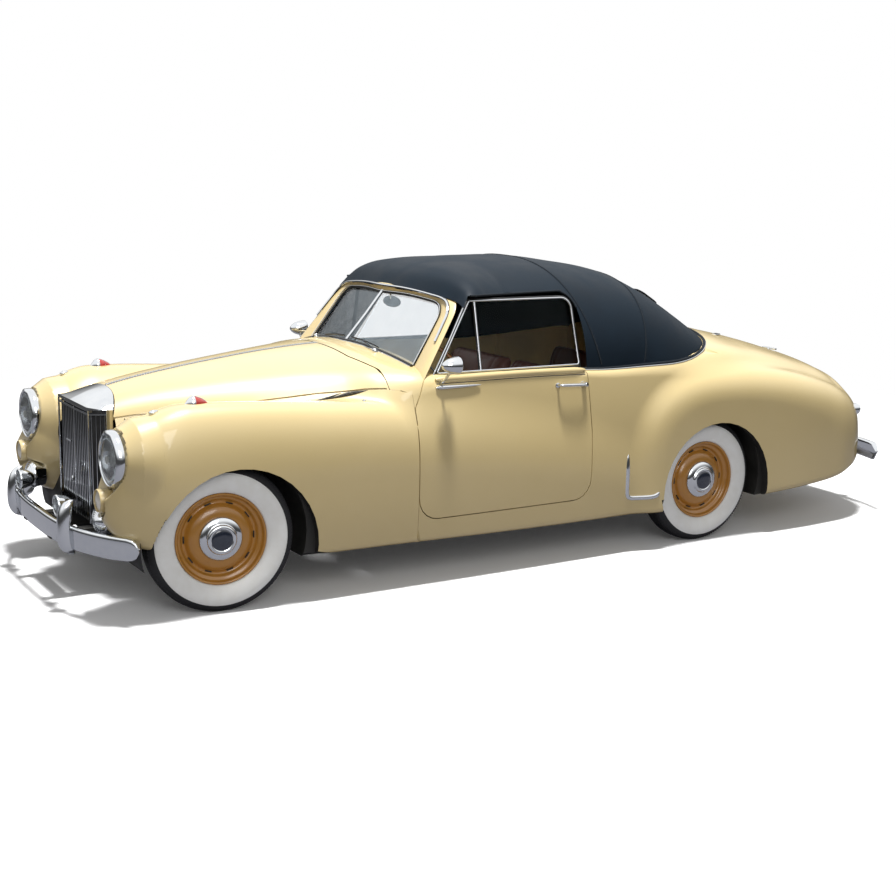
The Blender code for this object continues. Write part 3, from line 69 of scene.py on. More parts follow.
def add(tree, kind, inputs=None, **settings):
    """One node: its settings, and its inputs as values or other nodes' outputs."""
    node = tree.nodes.new(kind)
    for name, value in settings.items():
        setattr(node, name, value)
    for name, value in (inputs or {}).items():
        socket = node.inputs[name]
        if isinstance(value, bpy.types.NodeSocket):
            tree.links.new(value, socket)
        else:
            socket.default_value = value
    return node


def new_finish(name, colour, roughness, metallic=0.0, **sockets):
    """A material with its Principled shader set up; returns material, tree and shader."""
    made = bpy.data.materials.new(name)
    made.use_nodes = True
    shader = made.node_tree.nodes["Principled BSDF"]
    shader.inputs["Base Color"].default_value = hex_colour(colour)
    shader.inputs["Roughness"].default_value = roughness
    shader.inputs["Metallic"].default_value = metallic
    for socket, value in sockets.items():
        shader.inputs[socket.replace("_", " ")].default_value = value
    return made, made.node_tree, shader


def uneven(tree, shader, colours, size_mm, rough=None, detail=3.0):
    """Lets colour (and roughness) wander between two values in patches of a real size."""
    where = add(tree, "ShaderNodeTexCoord").outputs["Object"]
    noise = add(tree, "ShaderNodeTexNoise",
                {"Vector": where, "Scale": 1000 / size_mm, "Detail": detail})
    mix = add(tree, "ShaderNodeMix", {0: noise.outputs["Fac"]}, data_type="RGBA")
    mix.inputs[6].default_value, mix.inputs[7].default_value = map(hex_colour, colours)
    tree.links.new(mix.outputs[2], shader.inputs["Base Color"])
    if rough:
        level = add(tree, "ShaderNodeMapRange",
                    {"Value": noise.outputs["Fac"], "From Min": 0.3, "From Max": 0.7,
                     "To Min": rough[0], "To Max": rough[1]})
        tree.links.new(level.outputs["Result"], shader.inputs["Roughness"])
    return where


def grain(tree, shader, where, size_mm, depth_mm, kind="ShaderNodeTexNoise", **inputs):
    """Fine relief from a noise or cell pattern of a real size."""
    pattern = add(tree, kind, {"Vector": where, "Scale": 1000 / size_mm, **inputs})
    height = pattern.outputs["Fac" if kind.endswith("Noise") else 0]
    bump = add(tree, "ShaderNodeBump", {"Height": height, "Distance": depth_mm / 1000})
    tree.links.new(bump.outputs["Normal"], shader.inputs["Normal"])


CELLS = "ShaderNodeTexVoronoi"


def patchy(name, colour, roughness, colours, size_mm, relief=(), rough=None, metallic=0.0,
           **sockets):
    """A finish that wanders between two colours, with relief (size, depth in mm)."""
    made, tree, shader = new_finish(name, colour, roughness, metallic, **sockets)
    where = uneven(tree, shader, colours, size_mm, rough)
    if relief:
        grain(tree, shader, where, *relief)
    return made


# %% [markdown]
# ## Coachwork enamel
# The body is sprayed cellulose over steel, flatted and polished: a dense cream with a
# hard clear gloss. A clearcoat over a half-matt base gives that depth. Sprayed enamel is
# never quite even, so the cream wanders a little over half a metre, and a very shallow
# "orange peel" some millimetres wide breaks up the reflections.

# %% Enamels and chassis paint
cream = patchy("cellulose enamel cream", "#C6B280", 0.42, ("#C2AD78", "#CAB686"), 550,
               (9, 0.012), Coat_Weight=0.75, Coat_Roughness=0.06)
ochre = patchy("stoved enamel ochre", "#B07A2C", 0.30, ("#A87226", "#BA8436"), 90,
               (6, 0.02), Coat_Weight=0.6, Coat_Roughness=0.08)
chassis_black = patchy("chassis black paint", "#1B1B1C", 0.55, ("#141414", "#26241F"), 120,
                       (3, 0.08), rough=(0.45, 0.75))
iron = patchy("cast iron engine enamel", "#3C4644", 0.6, ("#36403E", "#4A4F48"), 60,
              (2.5, 0.15), rough=(0.5, 0.8))
print("enamels:", cream.name, "and", ochre.name)

# %% [markdown]
# ## Chromium plate, brass and steel
# Chromium plate is nearly a mirror with a faint blue cast. Fine polishing scratches make
# its roughness wander, which shows only as a soft edge on highlights. The inside of a
# slot or a lamp shell goes dark, because plate there sees only itself.

# %% Bright metal
chrome = patchy("chromium plate", "#D6D9DC", 0.06, ("#CFD3D8", "#DDDFE0"), 35,
                rough=(0.035, 0.10), metallic=1.0)
dull_steel = patchy("brushed stainless steel", "#9C9FA2", 0.35, ("#8F9296", "#A8ABAE"), 12,
                    rough=(0.28, 0.45), metallic=1.0)
hub_enamel = patchy("dark vitreous enamel", "#232B3A", 0.12, ("#1D2432", "#2C3444"), 20,
                    Coat_Weight=0.8, Coat_Roughness=0.04)
print("bright metal:", chrome.name, "and", dull_steel.name)

# %% [markdown]
# ## Rubber and the white band
# Tyre rubber is carbon black with a bloom that greys it. The white band is a softer
# white rubber, a touch warm and never quite clean. Object coordinates carry the fine
# grain, so it stays put as the wheel turns.

# %% Tyre and seal rubber
tyre_black = patchy("vulcanised tyre rubber", "#17171A", 0.72, ("#121214", "#232326"), 25,
                    (1.6, 0.1), rough=(0.6, 0.85))
whitewall = patchy("whitewall tyre rubber", "#E9E8E2", 0.5, ("#E2E0D8", "#F1F1EE"), 45,
                   (2.0, 0.05), rough=(0.42, 0.6))
seal = patchy("extruded seal rubber", "#101113", 0.5, ("#0C0D0F", "#1A1B1D"), 15, (1.5, 0.05))
print("rubber:", tyre_black.name + ",", whitewall.name)

# %% [markdown]
# ## Glass
# A window is two parallel faces, so it mirrors a little of the sky and lets the rest
# straight through. A mirror whose opacity follows the angle of view says just that: close
# to none seen square on, and most of it at a glancing angle. The sloped screen looks at the
# sky, so it starts higher. Lenses are thick pressed glass: they refract, and their flutes
# are relief.

# %% Window and lamp glass
def window_finish(name, colour, facing, tint):
    """Thin glass: opacity runs from facing, seen square on, up to a full mirror."""
    made, tree, shader = new_finish(name, colour, 0.02, 1.0)
    angle = add(tree, "ShaderNodeLayerWeight", {"Blend": 0.12})
    alpha = add(tree, "ShaderNodeMapRange",
                {"Value": angle.outputs["Fresnel"], "To Min": facing, "To Max": 0.85})
    where = add(tree, "ShaderNodeTexCoord").outputs["Object"]
    dust = add(tree, "ShaderNodeTexNoise", {"Vector": where, "Scale": 14.0, "Detail": 4.0})
    haze = add(tree, "ShaderNodeMath", {0: dust.outputs["Fac"], 1: tint},
               operation="MULTIPLY")
    total = add(tree, "ShaderNodeMath", {0: alpha.outputs["Result"], 1: haze.outputs[0]},
                operation="ADD", use_clamp=True)
    tree.links.new(total.outputs[0], shader.inputs["Alpha"])
    return made


window_glass = window_finish("laminated window glass", "#A9B6BC", 0.0, 0.012)
screen_glass = window_finish("laminated screen glass", "#B9C6CE", 0.12, 0.14)

lens_glass, tree, shader = new_finish("pressed lamp glass", "#F4F8FA", 0.04,
                                      Transmission_Weight=0.92, IOR=1.5)
where = add(tree, "ShaderNodeTexCoord").outputs["Object"]
flute = add(tree, "ShaderNodeTexWave", {"Vector": where, "Scale": 1000 / 16 / 2.0,
                                        "Distortion": 0.6}, bands_direction="X")
bump = add(tree, "ShaderNodeBump", {"Height": flute.outputs["Fac"], "Distance": 0.0012})
tree.links.new(bump.outputs["Normal"], shader.inputs["Normal"])

opal = patchy("frosted pass lamp glass", "#F2ECDC", 0.22, ("#EDE4CE", "#F8F5EC"), 40,
              (9, 0.25), Coat_Weight=0.9, Coat_Roughness=0.03)
ruby = patchy("ruby lamp glass", "#8E1410", 0.10, ("#7A0F0C", "#B3261A"), 18,
              (4, 0.3, CELLS), Coat_Weight=1.0, Coat_Roughness=0.03)
print("glass:", window_glass.name + ",", lens_glass.name + ",", ruby.name)

# %% [markdown]
# ## Canvas, hide and varnish
# The top is double-texture mohair canvas: blue-black and quite matt. Its threads are about
# 0.8 mm apart, too fine to show, so the weave is drawn at 5 mm. Hide has a pebbled grain
# of about 2 mm, and its gloss is uneven where it has been sat on. Walnut is a veneer
# under varnish, so its figure is a stretched noise below a clear coat.

# %% Soft finishes
def woven(name, colours, thread_mm, rough, sheen, depth_mm=0.25):
    """Cloth: two crossed sets of threads as relief, with a patchy colour."""
    made, tree, shader = new_finish(name, colours[0], rough, Sheen_Weight=sheen,
                                    Sheen_Roughness=0.45, Specular_IOR_Level=0.12)
    where = uneven(tree, shader, colours, 160, rough=(rough - 0.06, rough + 0.06))
    count = 1000 / thread_mm / (2 * math.pi)
    warp = add(tree, "ShaderNodeTexWave", {"Vector": where, "Scale": count * 2},
               bands_direction="X")
    weft = add(tree, "ShaderNodeTexWave", {"Vector": where, "Scale": count * 2},
               bands_direction="Y")
    both = add(tree, "ShaderNodeMath", {0: warp.outputs["Fac"], 1: weft.outputs["Fac"]},
               operation="MULTIPLY")
    bump = add(tree, "ShaderNodeBump", {"Height": both.outputs[0],
                                        "Distance": depth_mm / 1000, "Strength": 0.6})
    tree.links.new(bump.outputs["Normal"], shader.inputs["Normal"])
    return made


canvas = woven("mohair canvas blue-black", ("#0B141C", "#111D27"), 5, 0.50, 0.0)
canvas_dark = woven("canvas binding black", ("#101519", "#1A2026"), 4, 0.85, 0.1)
carpet = woven("cut pile carpet", ("#3A2A1E", "#4A3728"), 6, 0.95, 0.1, 0.8)

hide = patchy("grained hide brown", "#5E3527", 0.5, ("#512C20", "#6E4030"), 70,
              (2.2, 0.25, CELLS), rough=(0.42, 0.6))

walnut, tree, shader = new_finish("varnished walnut", "#4A2C18", 0.25,
                                  Coat_Weight=0.8, Coat_Roughness=0.05)
where = add(tree, "ShaderNodeTexCoord").outputs["Object"]
stretch = add(tree, "ShaderNodeMapping", {"Vector": where, "Scale": (2.0, 14.0, 22.0)})
rings = add(tree, "ShaderNodeTexNoise", {"Vector": stretch.outputs["Vector"],
                                         "Scale": 3.0, "Detail": 8.0, "Distortion": 1.2})
figure = add(tree, "ShaderNodeMix", {0: rings.outputs["Fac"]}, data_type="RGBA")
figure.inputs[6].default_value = hex_colour("#2F190C")
figure.inputs[7].default_value = hex_colour("#6E4426")
tree.links.new(figure.outputs[2], shader.inputs["Base Color"])

tan_rim = patchy("moulded celluloid tan", "#A8703A", 0.25, ("#9C642F", "#B57C44"), 25,
                 Coat_Weight=0.5, Coat_Roughness=0.08)
bakelite = patchy("moulded black bakelite", "#141416", 0.35, ("#0F0F11", "#1C1C1F"), 30,
                  (1.2, 0.04))
print("soft finishes:", canvas.name + ",", hide.name)

# %% [markdown]
# ## The shape of the body
# The whole coachwork is one smooth skin: a hull for bonnet, cabin sides and tail, a front
# wing that melts into the door, and a swollen rear wing. The CAD cut its panels out of
# this skin in flat facets. The same rule is written here again, so that those facets can
# be split finely and every new corner laid exactly on the true curve.

# %% The skin's tables and curves
# station, half width at the belt, height on the centreline, fall from centre to belt,
# softness of the shoulder
HULL = (
    (-0.46, 0.255, 0.930, 0.030, 0.040), (-0.30, 0.285, 0.978, 0.045, 0.045),
    (0.06, 0.378, 1.048, 0.078, 0.050), (0.28, 0.430, 1.080, 0.092, 0.050),
    (0.52, 0.492, 1.110, 0.105, 0.050), (0.72, 0.575, 1.128, 0.105, 0.050),
    (0.86, 0.665, 1.135, 0.095, 0.050), (1.00, 0.735, 1.136, 0.095, 0.040),
    (1.20, 0.755, 1.100, 0.070, 0.020), (1.60, 0.762, 1.070, 0.040, 0.012),
    (2.10, 0.762, 1.060, 0.045, 0.015), (2.60, 0.755, 1.120, 0.090, 0.030),
    (3.00, 0.740, 1.170, 0.125, 0.060), (3.40, 0.715, 1.105, 0.125, 0.080),
    (3.82, 0.685, 1.003, 0.130, 0.085), (4.08, 0.655, 0.923, 0.130, 0.085),
    (4.20, 0.625, 0.868, 0.130, 0.080), (4.28, 0.560, 0.790, 0.120, 0.075),
    (4.34, 0.440, 0.680, 0.100, 0.070))
# station, height of the wing's crown, its middle height, its centre from the centreline,
# its half width, depth below its middle height
FRONT_WING = (
    (-0.62, 0.930, 0.570, 0.670, 0.155, 0.290), (-0.30, 0.966, 0.580, 0.680, 0.155, 0.330),
    (-0.15, 0.978, 0.580, 0.686, 0.149, 0.400), (0.00, 0.976, 0.580, 0.690, 0.145, 0.450),
    (0.20, 0.966, 0.580, 0.690, 0.145, 0.560), (0.51, 0.946, 0.580, 0.688, 0.147, 0.600),
    (0.86, 0.920, 0.570, 0.684, 0.149, 0.600), (1.17, 0.872, 0.540, 0.680, 0.148, 0.600),
    (1.47, 0.820, 0.500, 0.676, 0.144, 0.600), (1.78, 0.765, 0.450, 0.672, 0.138, 0.600),
    (2.04, 0.700, 0.400, 0.668, 0.130, 0.600), (2.31, 0.605, 0.340, 0.664, 0.120, 0.600),
    (2.60, 0.480, 0.260, 0.660, 0.108, 0.600))
REAR_WING = ((2.20, 0.838), (3.40, 0.838), (3.80, 0.822), (4.00, 0.796), (4.12, 0.755),
             (4.20, 0.700), (4.27, 0.610), (4.33, 0.480))
LOWER_EDGE = ((-0.60, 0.360), (-0.42, 0.335), (-0.34, 0.325), (0.30, 0.227),
              (3.30, 0.232), (3.62, 0.250), (3.95, 0.285), (4.10, 0.325), (4.34, 0.385))
WING_INNER = 0.27              # half width of the front wing's inner flank
SIDE_MID = 0.58                # height of the hull's widest line
WING_POWER = 2.5               # how square the front wing's section is
NOSE_POWER = 2.1               # how blunt its nose is
HUMP_CENTRE = (2.987, 0.45)    # station and height about which the rear wing is drawn
HUMP_REACH = (0.656, 0.539, 1.44)


def curve(table, column):
    """A smooth function of the station through one column of a table."""
    at = np.array([row[0] for row in table])
    value = np.array([row[column] for row in table])
    slope = np.gradient(value, at)
    secant = np.diff(value) / np.diff(at)
    flat = np.zeros(len(at), bool)
    flat[1:-1] = secant[1:] * secant[:-1] <= 0
    slope[flat] = 0.0

    def read(s):
        s = np.clip(np.asarray(s, float), at[0], at[-1])
        i = np.clip(np.searchsorted(at, s) - 1, 0, len(at) - 2)
        h = at[i + 1] - at[i]
        t = (s - at[i]) / h
        return ((1 + 2 * t) * (1 - t) ** 2 * value[i] + t * (1 - t) ** 2 * h * slope[i]
                + t * t * (3 - 2 * t) * value[i + 1] + t * t * (t - 1) * h * slope[i + 1])
    return read


hull_half, hull_top, hull_fall, hull_edge = (curve(HULL, c) for c in (1, 2, 3, 4))
wing_crown, wing_mid, wing_centre, wing_half, wing_depth = (
    curve(FRONT_WING, c) for c in (1, 2, 3, 4, 5))
hump_half = curve(REAR_WING, 1)
lower_edge = curve(LOWER_EDGE, 1)


# %% The skin as a rule: below zero inside the body
def smooth_max(a, b, soft):
    """The larger of two values, rounded over where they are close."""
    h = np.clip(1 - np.abs(a - b) / soft, 0.0, 1.0)
    return np.maximum(a, b) + 0.25 * soft * h * h


def smooth_min(a, b, soft):
    """The smaller of two values, rounded in the same way."""
    return -smooth_max(-a, -b, soft)


def hull(x, s, z):
    """Bonnet, cabin sides and tail, without the wings."""
    half, fall = hull_half(s), hull_fall(s)
    belt = hull_top(s) - fall
    swell = 1 - ((z - SIDE_MID) / (belt - SIDE_MID)) ** 2
    side = x - half - 0.030 * np.maximum(swell, -1.0)
    top = z - hull_top(s) + fall * (x / half) ** 2
    front = -0.435 + 0.08 * (z - 0.35) - s
    return smooth_max(smooth_max(top, side, 2.5 * hull_edge(s)), front, 0.05)


def front_wing(x, s, z):
    """The front wing, which thins out along the door."""
    t = np.clip((-0.15 - s) / 0.410, 0.0, 0.9999)
    close = (1 - t ** NOSE_POWER) ** (1 / NOSE_POWER)
    mid = wing_mid(s)
    up, down = (wing_crown(s) - mid) * close, wing_depth(s) * close
    off = x - wing_centre(s)
    across = np.abs(off) / (np.where(off > 0, wing_half(s), WING_INNER) * close)
    rise = np.where(z > mid, (z - mid) / up, (mid - z) / down)
    size = (across ** WING_POWER + rise ** WING_POWER) ** (1 / WING_POWER)
    return (size - 1) * wing_half(s) * close


def rear_wing(x, s, z):
    """The rear wing, which swells out of the side."""
    s0, z0 = HUMP_CENTRE
    fore, up, aft = HUMP_REACH
    power = np.where(s < s0, 2.68, 1.8)
    run = np.abs(s - s0) / np.where(s < s0, fore, aft)
    rise = np.maximum(z - z0, 0.0) / up
    outline = ((run ** power + rise ** power) ** (1 / power) - 1) * up
    return smooth_max(outline, x - hump_half(s), 0.1875)


def skin(x, s, z):
    """The whole closed body, x being the distance from its middle plane."""
    body = hull(x, s, z)
    body = np.where(s < 2.9, smooth_min(body, front_wing(x, s, z), 0.070), body)
    body = np.where(s > 2.2, smooth_min(body, rear_wing(x, s, z), 0.035), body)
    return smooth_max(body, lower_edge(s) - z, 0.035)


HEADLAMP = (0.647, -0.478, 0.748)      # across, station and height of its rim


def lamp_pod(x, s, z):
    """The fairing behind a headlamp, a blunt cone that runs back into the wing."""
    t = np.clip((s + 0.490) / 0.24, 0.0, 1.0)
    reach = np.hypot(x - HEADLAMP[0] - 0.013 * t, z - HEADLAMP[2] + 0.003 * t)
    cone = reach - 0.1335 + 0.025 * t * t + 5.0 * np.maximum(s + 0.38, 0.0) ** 2
    return smooth_max(cone, -0.470 - s, 0.02)


def wing_skin(x, s, z):
    """The skin with the headlamp's fairing, and drawn back beside the grille."""
    beside = -0.368 - 1.35 * np.maximum(x - 0.275, 0.0) - s
    drawn = np.where(s < -0.15, smooth_max(skin(x, s, z), beside, 0.06), skin(x, s, z))
    drawn = smooth_max(drawn, -0.555 - s, 0.02)
    soft = np.interp(s, (-0.48, -0.40, -0.30, -0.20), (0.03, 0.12, 0.10, 0.03))
    return smooth_min(drawn, lamp_pod(x, s, z), soft)


print("crown of the front wing over the axle:", round(float(wing_crown(0.0)), 3), "m")

# %% [markdown]
# ## Making and placing pieces
# Nearly every piece is a grid of points: rows across, rows along. One helper turns rows
# into a mesh, one spins a profile, and one pushes a profile along a path. Each finished
# piece is one object at the origin, and it rides on a body of the frame.

# %% Helpers for meshes
def placed(x, s, z):
    """A point given across the car, by station, and by height."""
    return Vector((x, s + FRONT_AXLE, z))


def skin_mesh(rows, around=False, ends=False, loop=False):
    """A bmesh over rows of points; around closes each row, loop closes the rows."""
    bm = bmesh.new()
    grid = [[bm.verts.new(Vector(p)) for p in row] for row in rows]
    pairs = list(zip(grid, grid[1:])) + ([(grid[-1], grid[0])] if loop else [])
    for row, after in pairs:
        for i in range(len(row) - (0 if around else 1)):
            j = (i + 1) % len(row)
            bm.faces.new((row[i], row[j], after[j], after[i]))
    if ends:
        for row in (grid[0][::-1], grid[-1]):
            bm.faces.new(row)
    return bm


def solid(rows):
    """A bmesh over closed rows of points, shut at both ends."""
    return skin_mesh(rows, around=True, ends=True)


def finished(bm, name, finish=chrome, body="body", smooth=35.0, outward=True,
             stands_for=()):
    """Closes a bmesh into a piece that rides on a body; chromium on the tub if not told."""
    bmesh.ops.remove_doubles(bm, verts=bm.verts, dist=1e-6)
    bmesh.ops.dissolve_degenerate(bm, edges=bm.edges, dist=1e-7)
    if outward:
        bmesh.ops.recalc_face_normals(bm, faces=bm.faces)
    mesh = bpy.data.meshes.new(name)
    bm.to_mesh(mesh)
    bm.free()
    mesh.materials.append(finish)
    smoothed(mesh, smooth)
    return joined_to(bpy.data.objects.new(name, mesh), body, stands_for)


def smoothed(mesh, degrees):
    """Smooth shading, with edges sharper than an angle kept crisp."""
    mesh.polygons.foreach_set("use_smooth", [True] * len(mesh.polygons))
    mesh.set_sharp_from_angle(angle=math.radians(degrees))


def joined_to(item, body, stands_for=()):
    """Links a finished object, and says what it rides on and stands for."""
    MADE.append(item)
    if item.name not in bpy.context.scene.collection.objects:
        bpy.context.scene.collection.objects.link(item)
    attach(item, body)
    if stands_for:
        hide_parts(*stands_for)
    return item


def frame_of(axis):
    """Two directions square to an axis and to each other."""
    axis = Vector(axis).normalized()
    side = axis.orthogonal().normalized() if abs(axis.z) > 0.99 else \
        Vector((0, 0, 1)).cross(axis).normalized()
    return side, axis.cross(side)


def spun(profile, centre, axis, sides=64, squash=(1.0, 1.0)):
    """Rows of points of a profile (radius, distance) turned about an axis."""
    centre, axis = Vector(centre), Vector(axis).normalized()
    side, up = frame_of(axis)
    turns = [2 * math.pi * k / sides for k in range(sides)]
    return [[centre + axis * d + side * (r * squash[0] * math.cos(t))
             + up * (r * squash[1] * math.sin(t)) for t in turns] for r, d in profile]


def spin(profile, centre, axis, sides=64, loop=False, squash=(1.0, 1.0)):
    """A bmesh of a profile turned about an axis; a profile from the axis closes itself."""
    return skin_mesh(spun(profile, centre, axis, sides, squash), around=True, loop=loop)


def swept(path, profile, up=(0, 0, 1), closed=False, ends=True, scale=None):
    """A bmesh of a flat profile (across, up) pushed along a path of points."""
    path = [Vector(p) for p in path]
    count = len(path)
    rows = []
    for i, here in enumerate(path):
        before = path[i - 1] if i or closed else here
        after = path[(i + 1) % count] if i < count - 1 or closed else here
        along = (after - before).normalized()
        lift = Vector(up[i]) if isinstance(up, list) else Vector(up)
        across = along.cross(lift).normalized()
        lift = across.cross(along)
        size = scale[i] if scale else 1.0
        rows.append([here + across * (u * size) + lift * (v * size) for u, v in profile])
    return skin_mesh(rows, around=True, ends=ends and not closed, loop=closed)


def round_bar(radius, sides=10, flat=1.0):
    """A round or oval profile, to sweep."""
    return [(radius * math.cos(2 * math.pi * k / sides),
             radius * flat * math.sin(2 * math.pi * k / sides)) for k in range(sides)]


def smooth_path(points, steps=6, closed=False):
    """A curve through points, by Catmull and Rom's rule."""
    pts = [np.array(p, float) for p in points]
    count = len(pts)
    out = []
    for i in range(count if closed else count - 1):
        p1, p2 = pts[i], pts[(i + 1) % count]
        p0 = pts[i - 1] if closed or i else 2 * p1 - p2
        p3 = pts[(i + 2) % count] if closed or i + 2 < count else 2 * p2 - p1
        for k in range(steps):
            t = k / steps
            out.append(0.5 * (2 * p1 + (p2 - p0) * t + (2 * p0 - 5 * p1 + 4 * p2 - p3) * t * t
                              + (3 * p1 - p0 - 3 * p2 + p3) * t ** 3))
    if not closed:
        out.append(pts[-1])
    return [tuple(p) for p in out]


def bent(value, power):
    """A power that keeps the sign of its value, which squares up a circle."""
    return math.copysign(abs(value) ** power, value)


def flat_bar(wide, thick, sides=12):
    """A flat profile with rounded corners, to sweep."""
    return [(wide * bent(math.cos(t), 0.7), thick * bent(math.sin(t), 0.7))
            for t in np.linspace(0, 2 * math.pi, sides + 1)[:-1]]


def box_bar(wide, thick, top=None):
    """A profile with four corners, to sweep, from its half width and half thickness."""
    top = wide if top is None else top
    return [(-wide, -thick), (wide, -thick), (top, thick), (-top, thick)]


def closing_on(low, high, holds, times=24):
    """Halves a range until it closes on the place where a test stops holding."""
    for _ in range(times):
        middle = (low + high) / 2
        if holds(middle):
            low = middle
        else:
            high = middle
    return low


SIDES = (("left", 1), ("right", -1))
MADE = []                      # pieces since the last count


def tell(step):
    """Prints how many pieces a step has made, and of how many faces."""
    print(step + ":", len(MADE), "pieces,", sum(len(m.data.polygons) for m in MADE), "faces")
    MADE.clear()

# %% [markdown]
# ## Laying a panel on the skin
# A CAD panel is flat facets with shut lines cut through them. Remodelling it would move
# the shut lines. Instead its facets that lie on the skin are split in the middle of their
# longer edges, and every new corner is slid onto the true curve. The corners carry the
# curve's own direction as their normals, so that reflections run over the panel without
# a ripple. Edges and inner walls stay as they are cut.

# %% Split and lay the facets
def height_over(field, p):
    """The skin's rule at points of the model."""
    return field(np.abs(p[:, 0]), p[:, 1] - FRONT_AXLE, p[:, 2])


def steepest(field, p, step=2e-4):
    """The direction in which the rule grows, which is the skin's normal."""
    out = np.empty_like(p)
    for k in range(3):
        shift = np.zeros(3)
        shift[k] = step
        out[:, k] = (height_over(field, p + shift) - height_over(field, p - shift)) / step / 2
    return out


def laid_on(field, p, times=3):
    """Points slid along the normal onto the skin."""
    for _ in range(times):
        slope = steepest(field, p)
        p = p - (height_over(field, p) / np.maximum((slope ** 2).sum(1), 1e-6))[:, None] * slope
    return p


def spot_on_skin(x, s, z):
    """The skin's nearest point to a place, and the way out of the body there."""
    spot = laid_on(skin, np.array([[x, s + FRONT_AXLE, z]]), 6)
    return Vector(spot[0]), Vector(steepest(skin, spot)[0]).normalized()


TAIL_CAP = 4.335               # behind this the tail is closed by a flat pan
ARCHES = ((0.045, 0.425), (2.930, 0.410))      # station and radius of each wheel arch


def hidden_finish(x, y, z):
    """Which finish an inner face has: 0 enamel, 1 underseal in arches, 2 carpet indoors."""
    x, s = abs(x), y - FRONT_AXLE
    if s > TAIL_CAP:
        return 0
    for arch, radius in ARCHES:
        if math.hypot(s - arch, z - 0.30) < radius + 0.05 and z < 0.80:
            return 1
    if z < 0.40 and (x < 0.70 or s < 0.9) or s < 1.08 and x < 0.70:
        return 1
    if 1.13 < s < 2.95 and x < 0.715 and z < 0.62:
        return 2
    return 0


NOSE_CUT = -0.305              # ahead of this a wing's nose is made anew


def laid_shell(name, points, faces, outer, field, body, finishes, stands_for=()):
    """An object of triangles whose outer ones carry the skin's own normals."""
    mesh = bpy.data.meshes.new(name)
    mesh.from_pydata(points.tolist(), [], faces)
    for material in finishes:
        mesh.materials.append(material)
    mesh.polygons.foreach_set("use_smooth", [True] * len(mesh.polygons))
    centre = points[np.array(faces)].mean(axis=1)
    mesh.polygons.foreach_set("material_index", [
        0 if on or len(finishes) == 1 else hidden_finish(*spot)
        for on, spot in zip(outer, centre.tolist())])
    mesh.set_sharp_from_angle(angle=math.radians(30))
    sharp = mesh.attributes.get("sharp_edge") or \
        mesh.attributes.new("sharp_edge", "BOOLEAN", "EDGE")
    kinds = {}
    for face, on in zip(faces, outer):
        for pair in zip(face, face[1:] + face[:1]):
            kinds.setdefault(tuple(sorted(pair)), set()).add(on)
    for edge in mesh.edges:
        kind = kinds[tuple(sorted(edge.vertices))]
        if len(kind) == 2:
            sharp.data[edge.index].value = True
        elif True in kind:
            sharp.data[edge.index].value = False
    slope = steepest(field, points)
    slope /= np.maximum(np.linalg.norm(slope, axis=1), 1e-9)[:, None]
    mesh.normals_split_custom_set([tuple(slope[v]) if on else (0.0, 0.0, 0.0)
                                   for face, on in zip(faces, outer) for v in face])
    item = joined_to(bpy.data.objects.new(name, mesh), body, stands_for)
    print(mesh.name, len(faces), "triangles,", sum(outer), "on the skin")
    return item


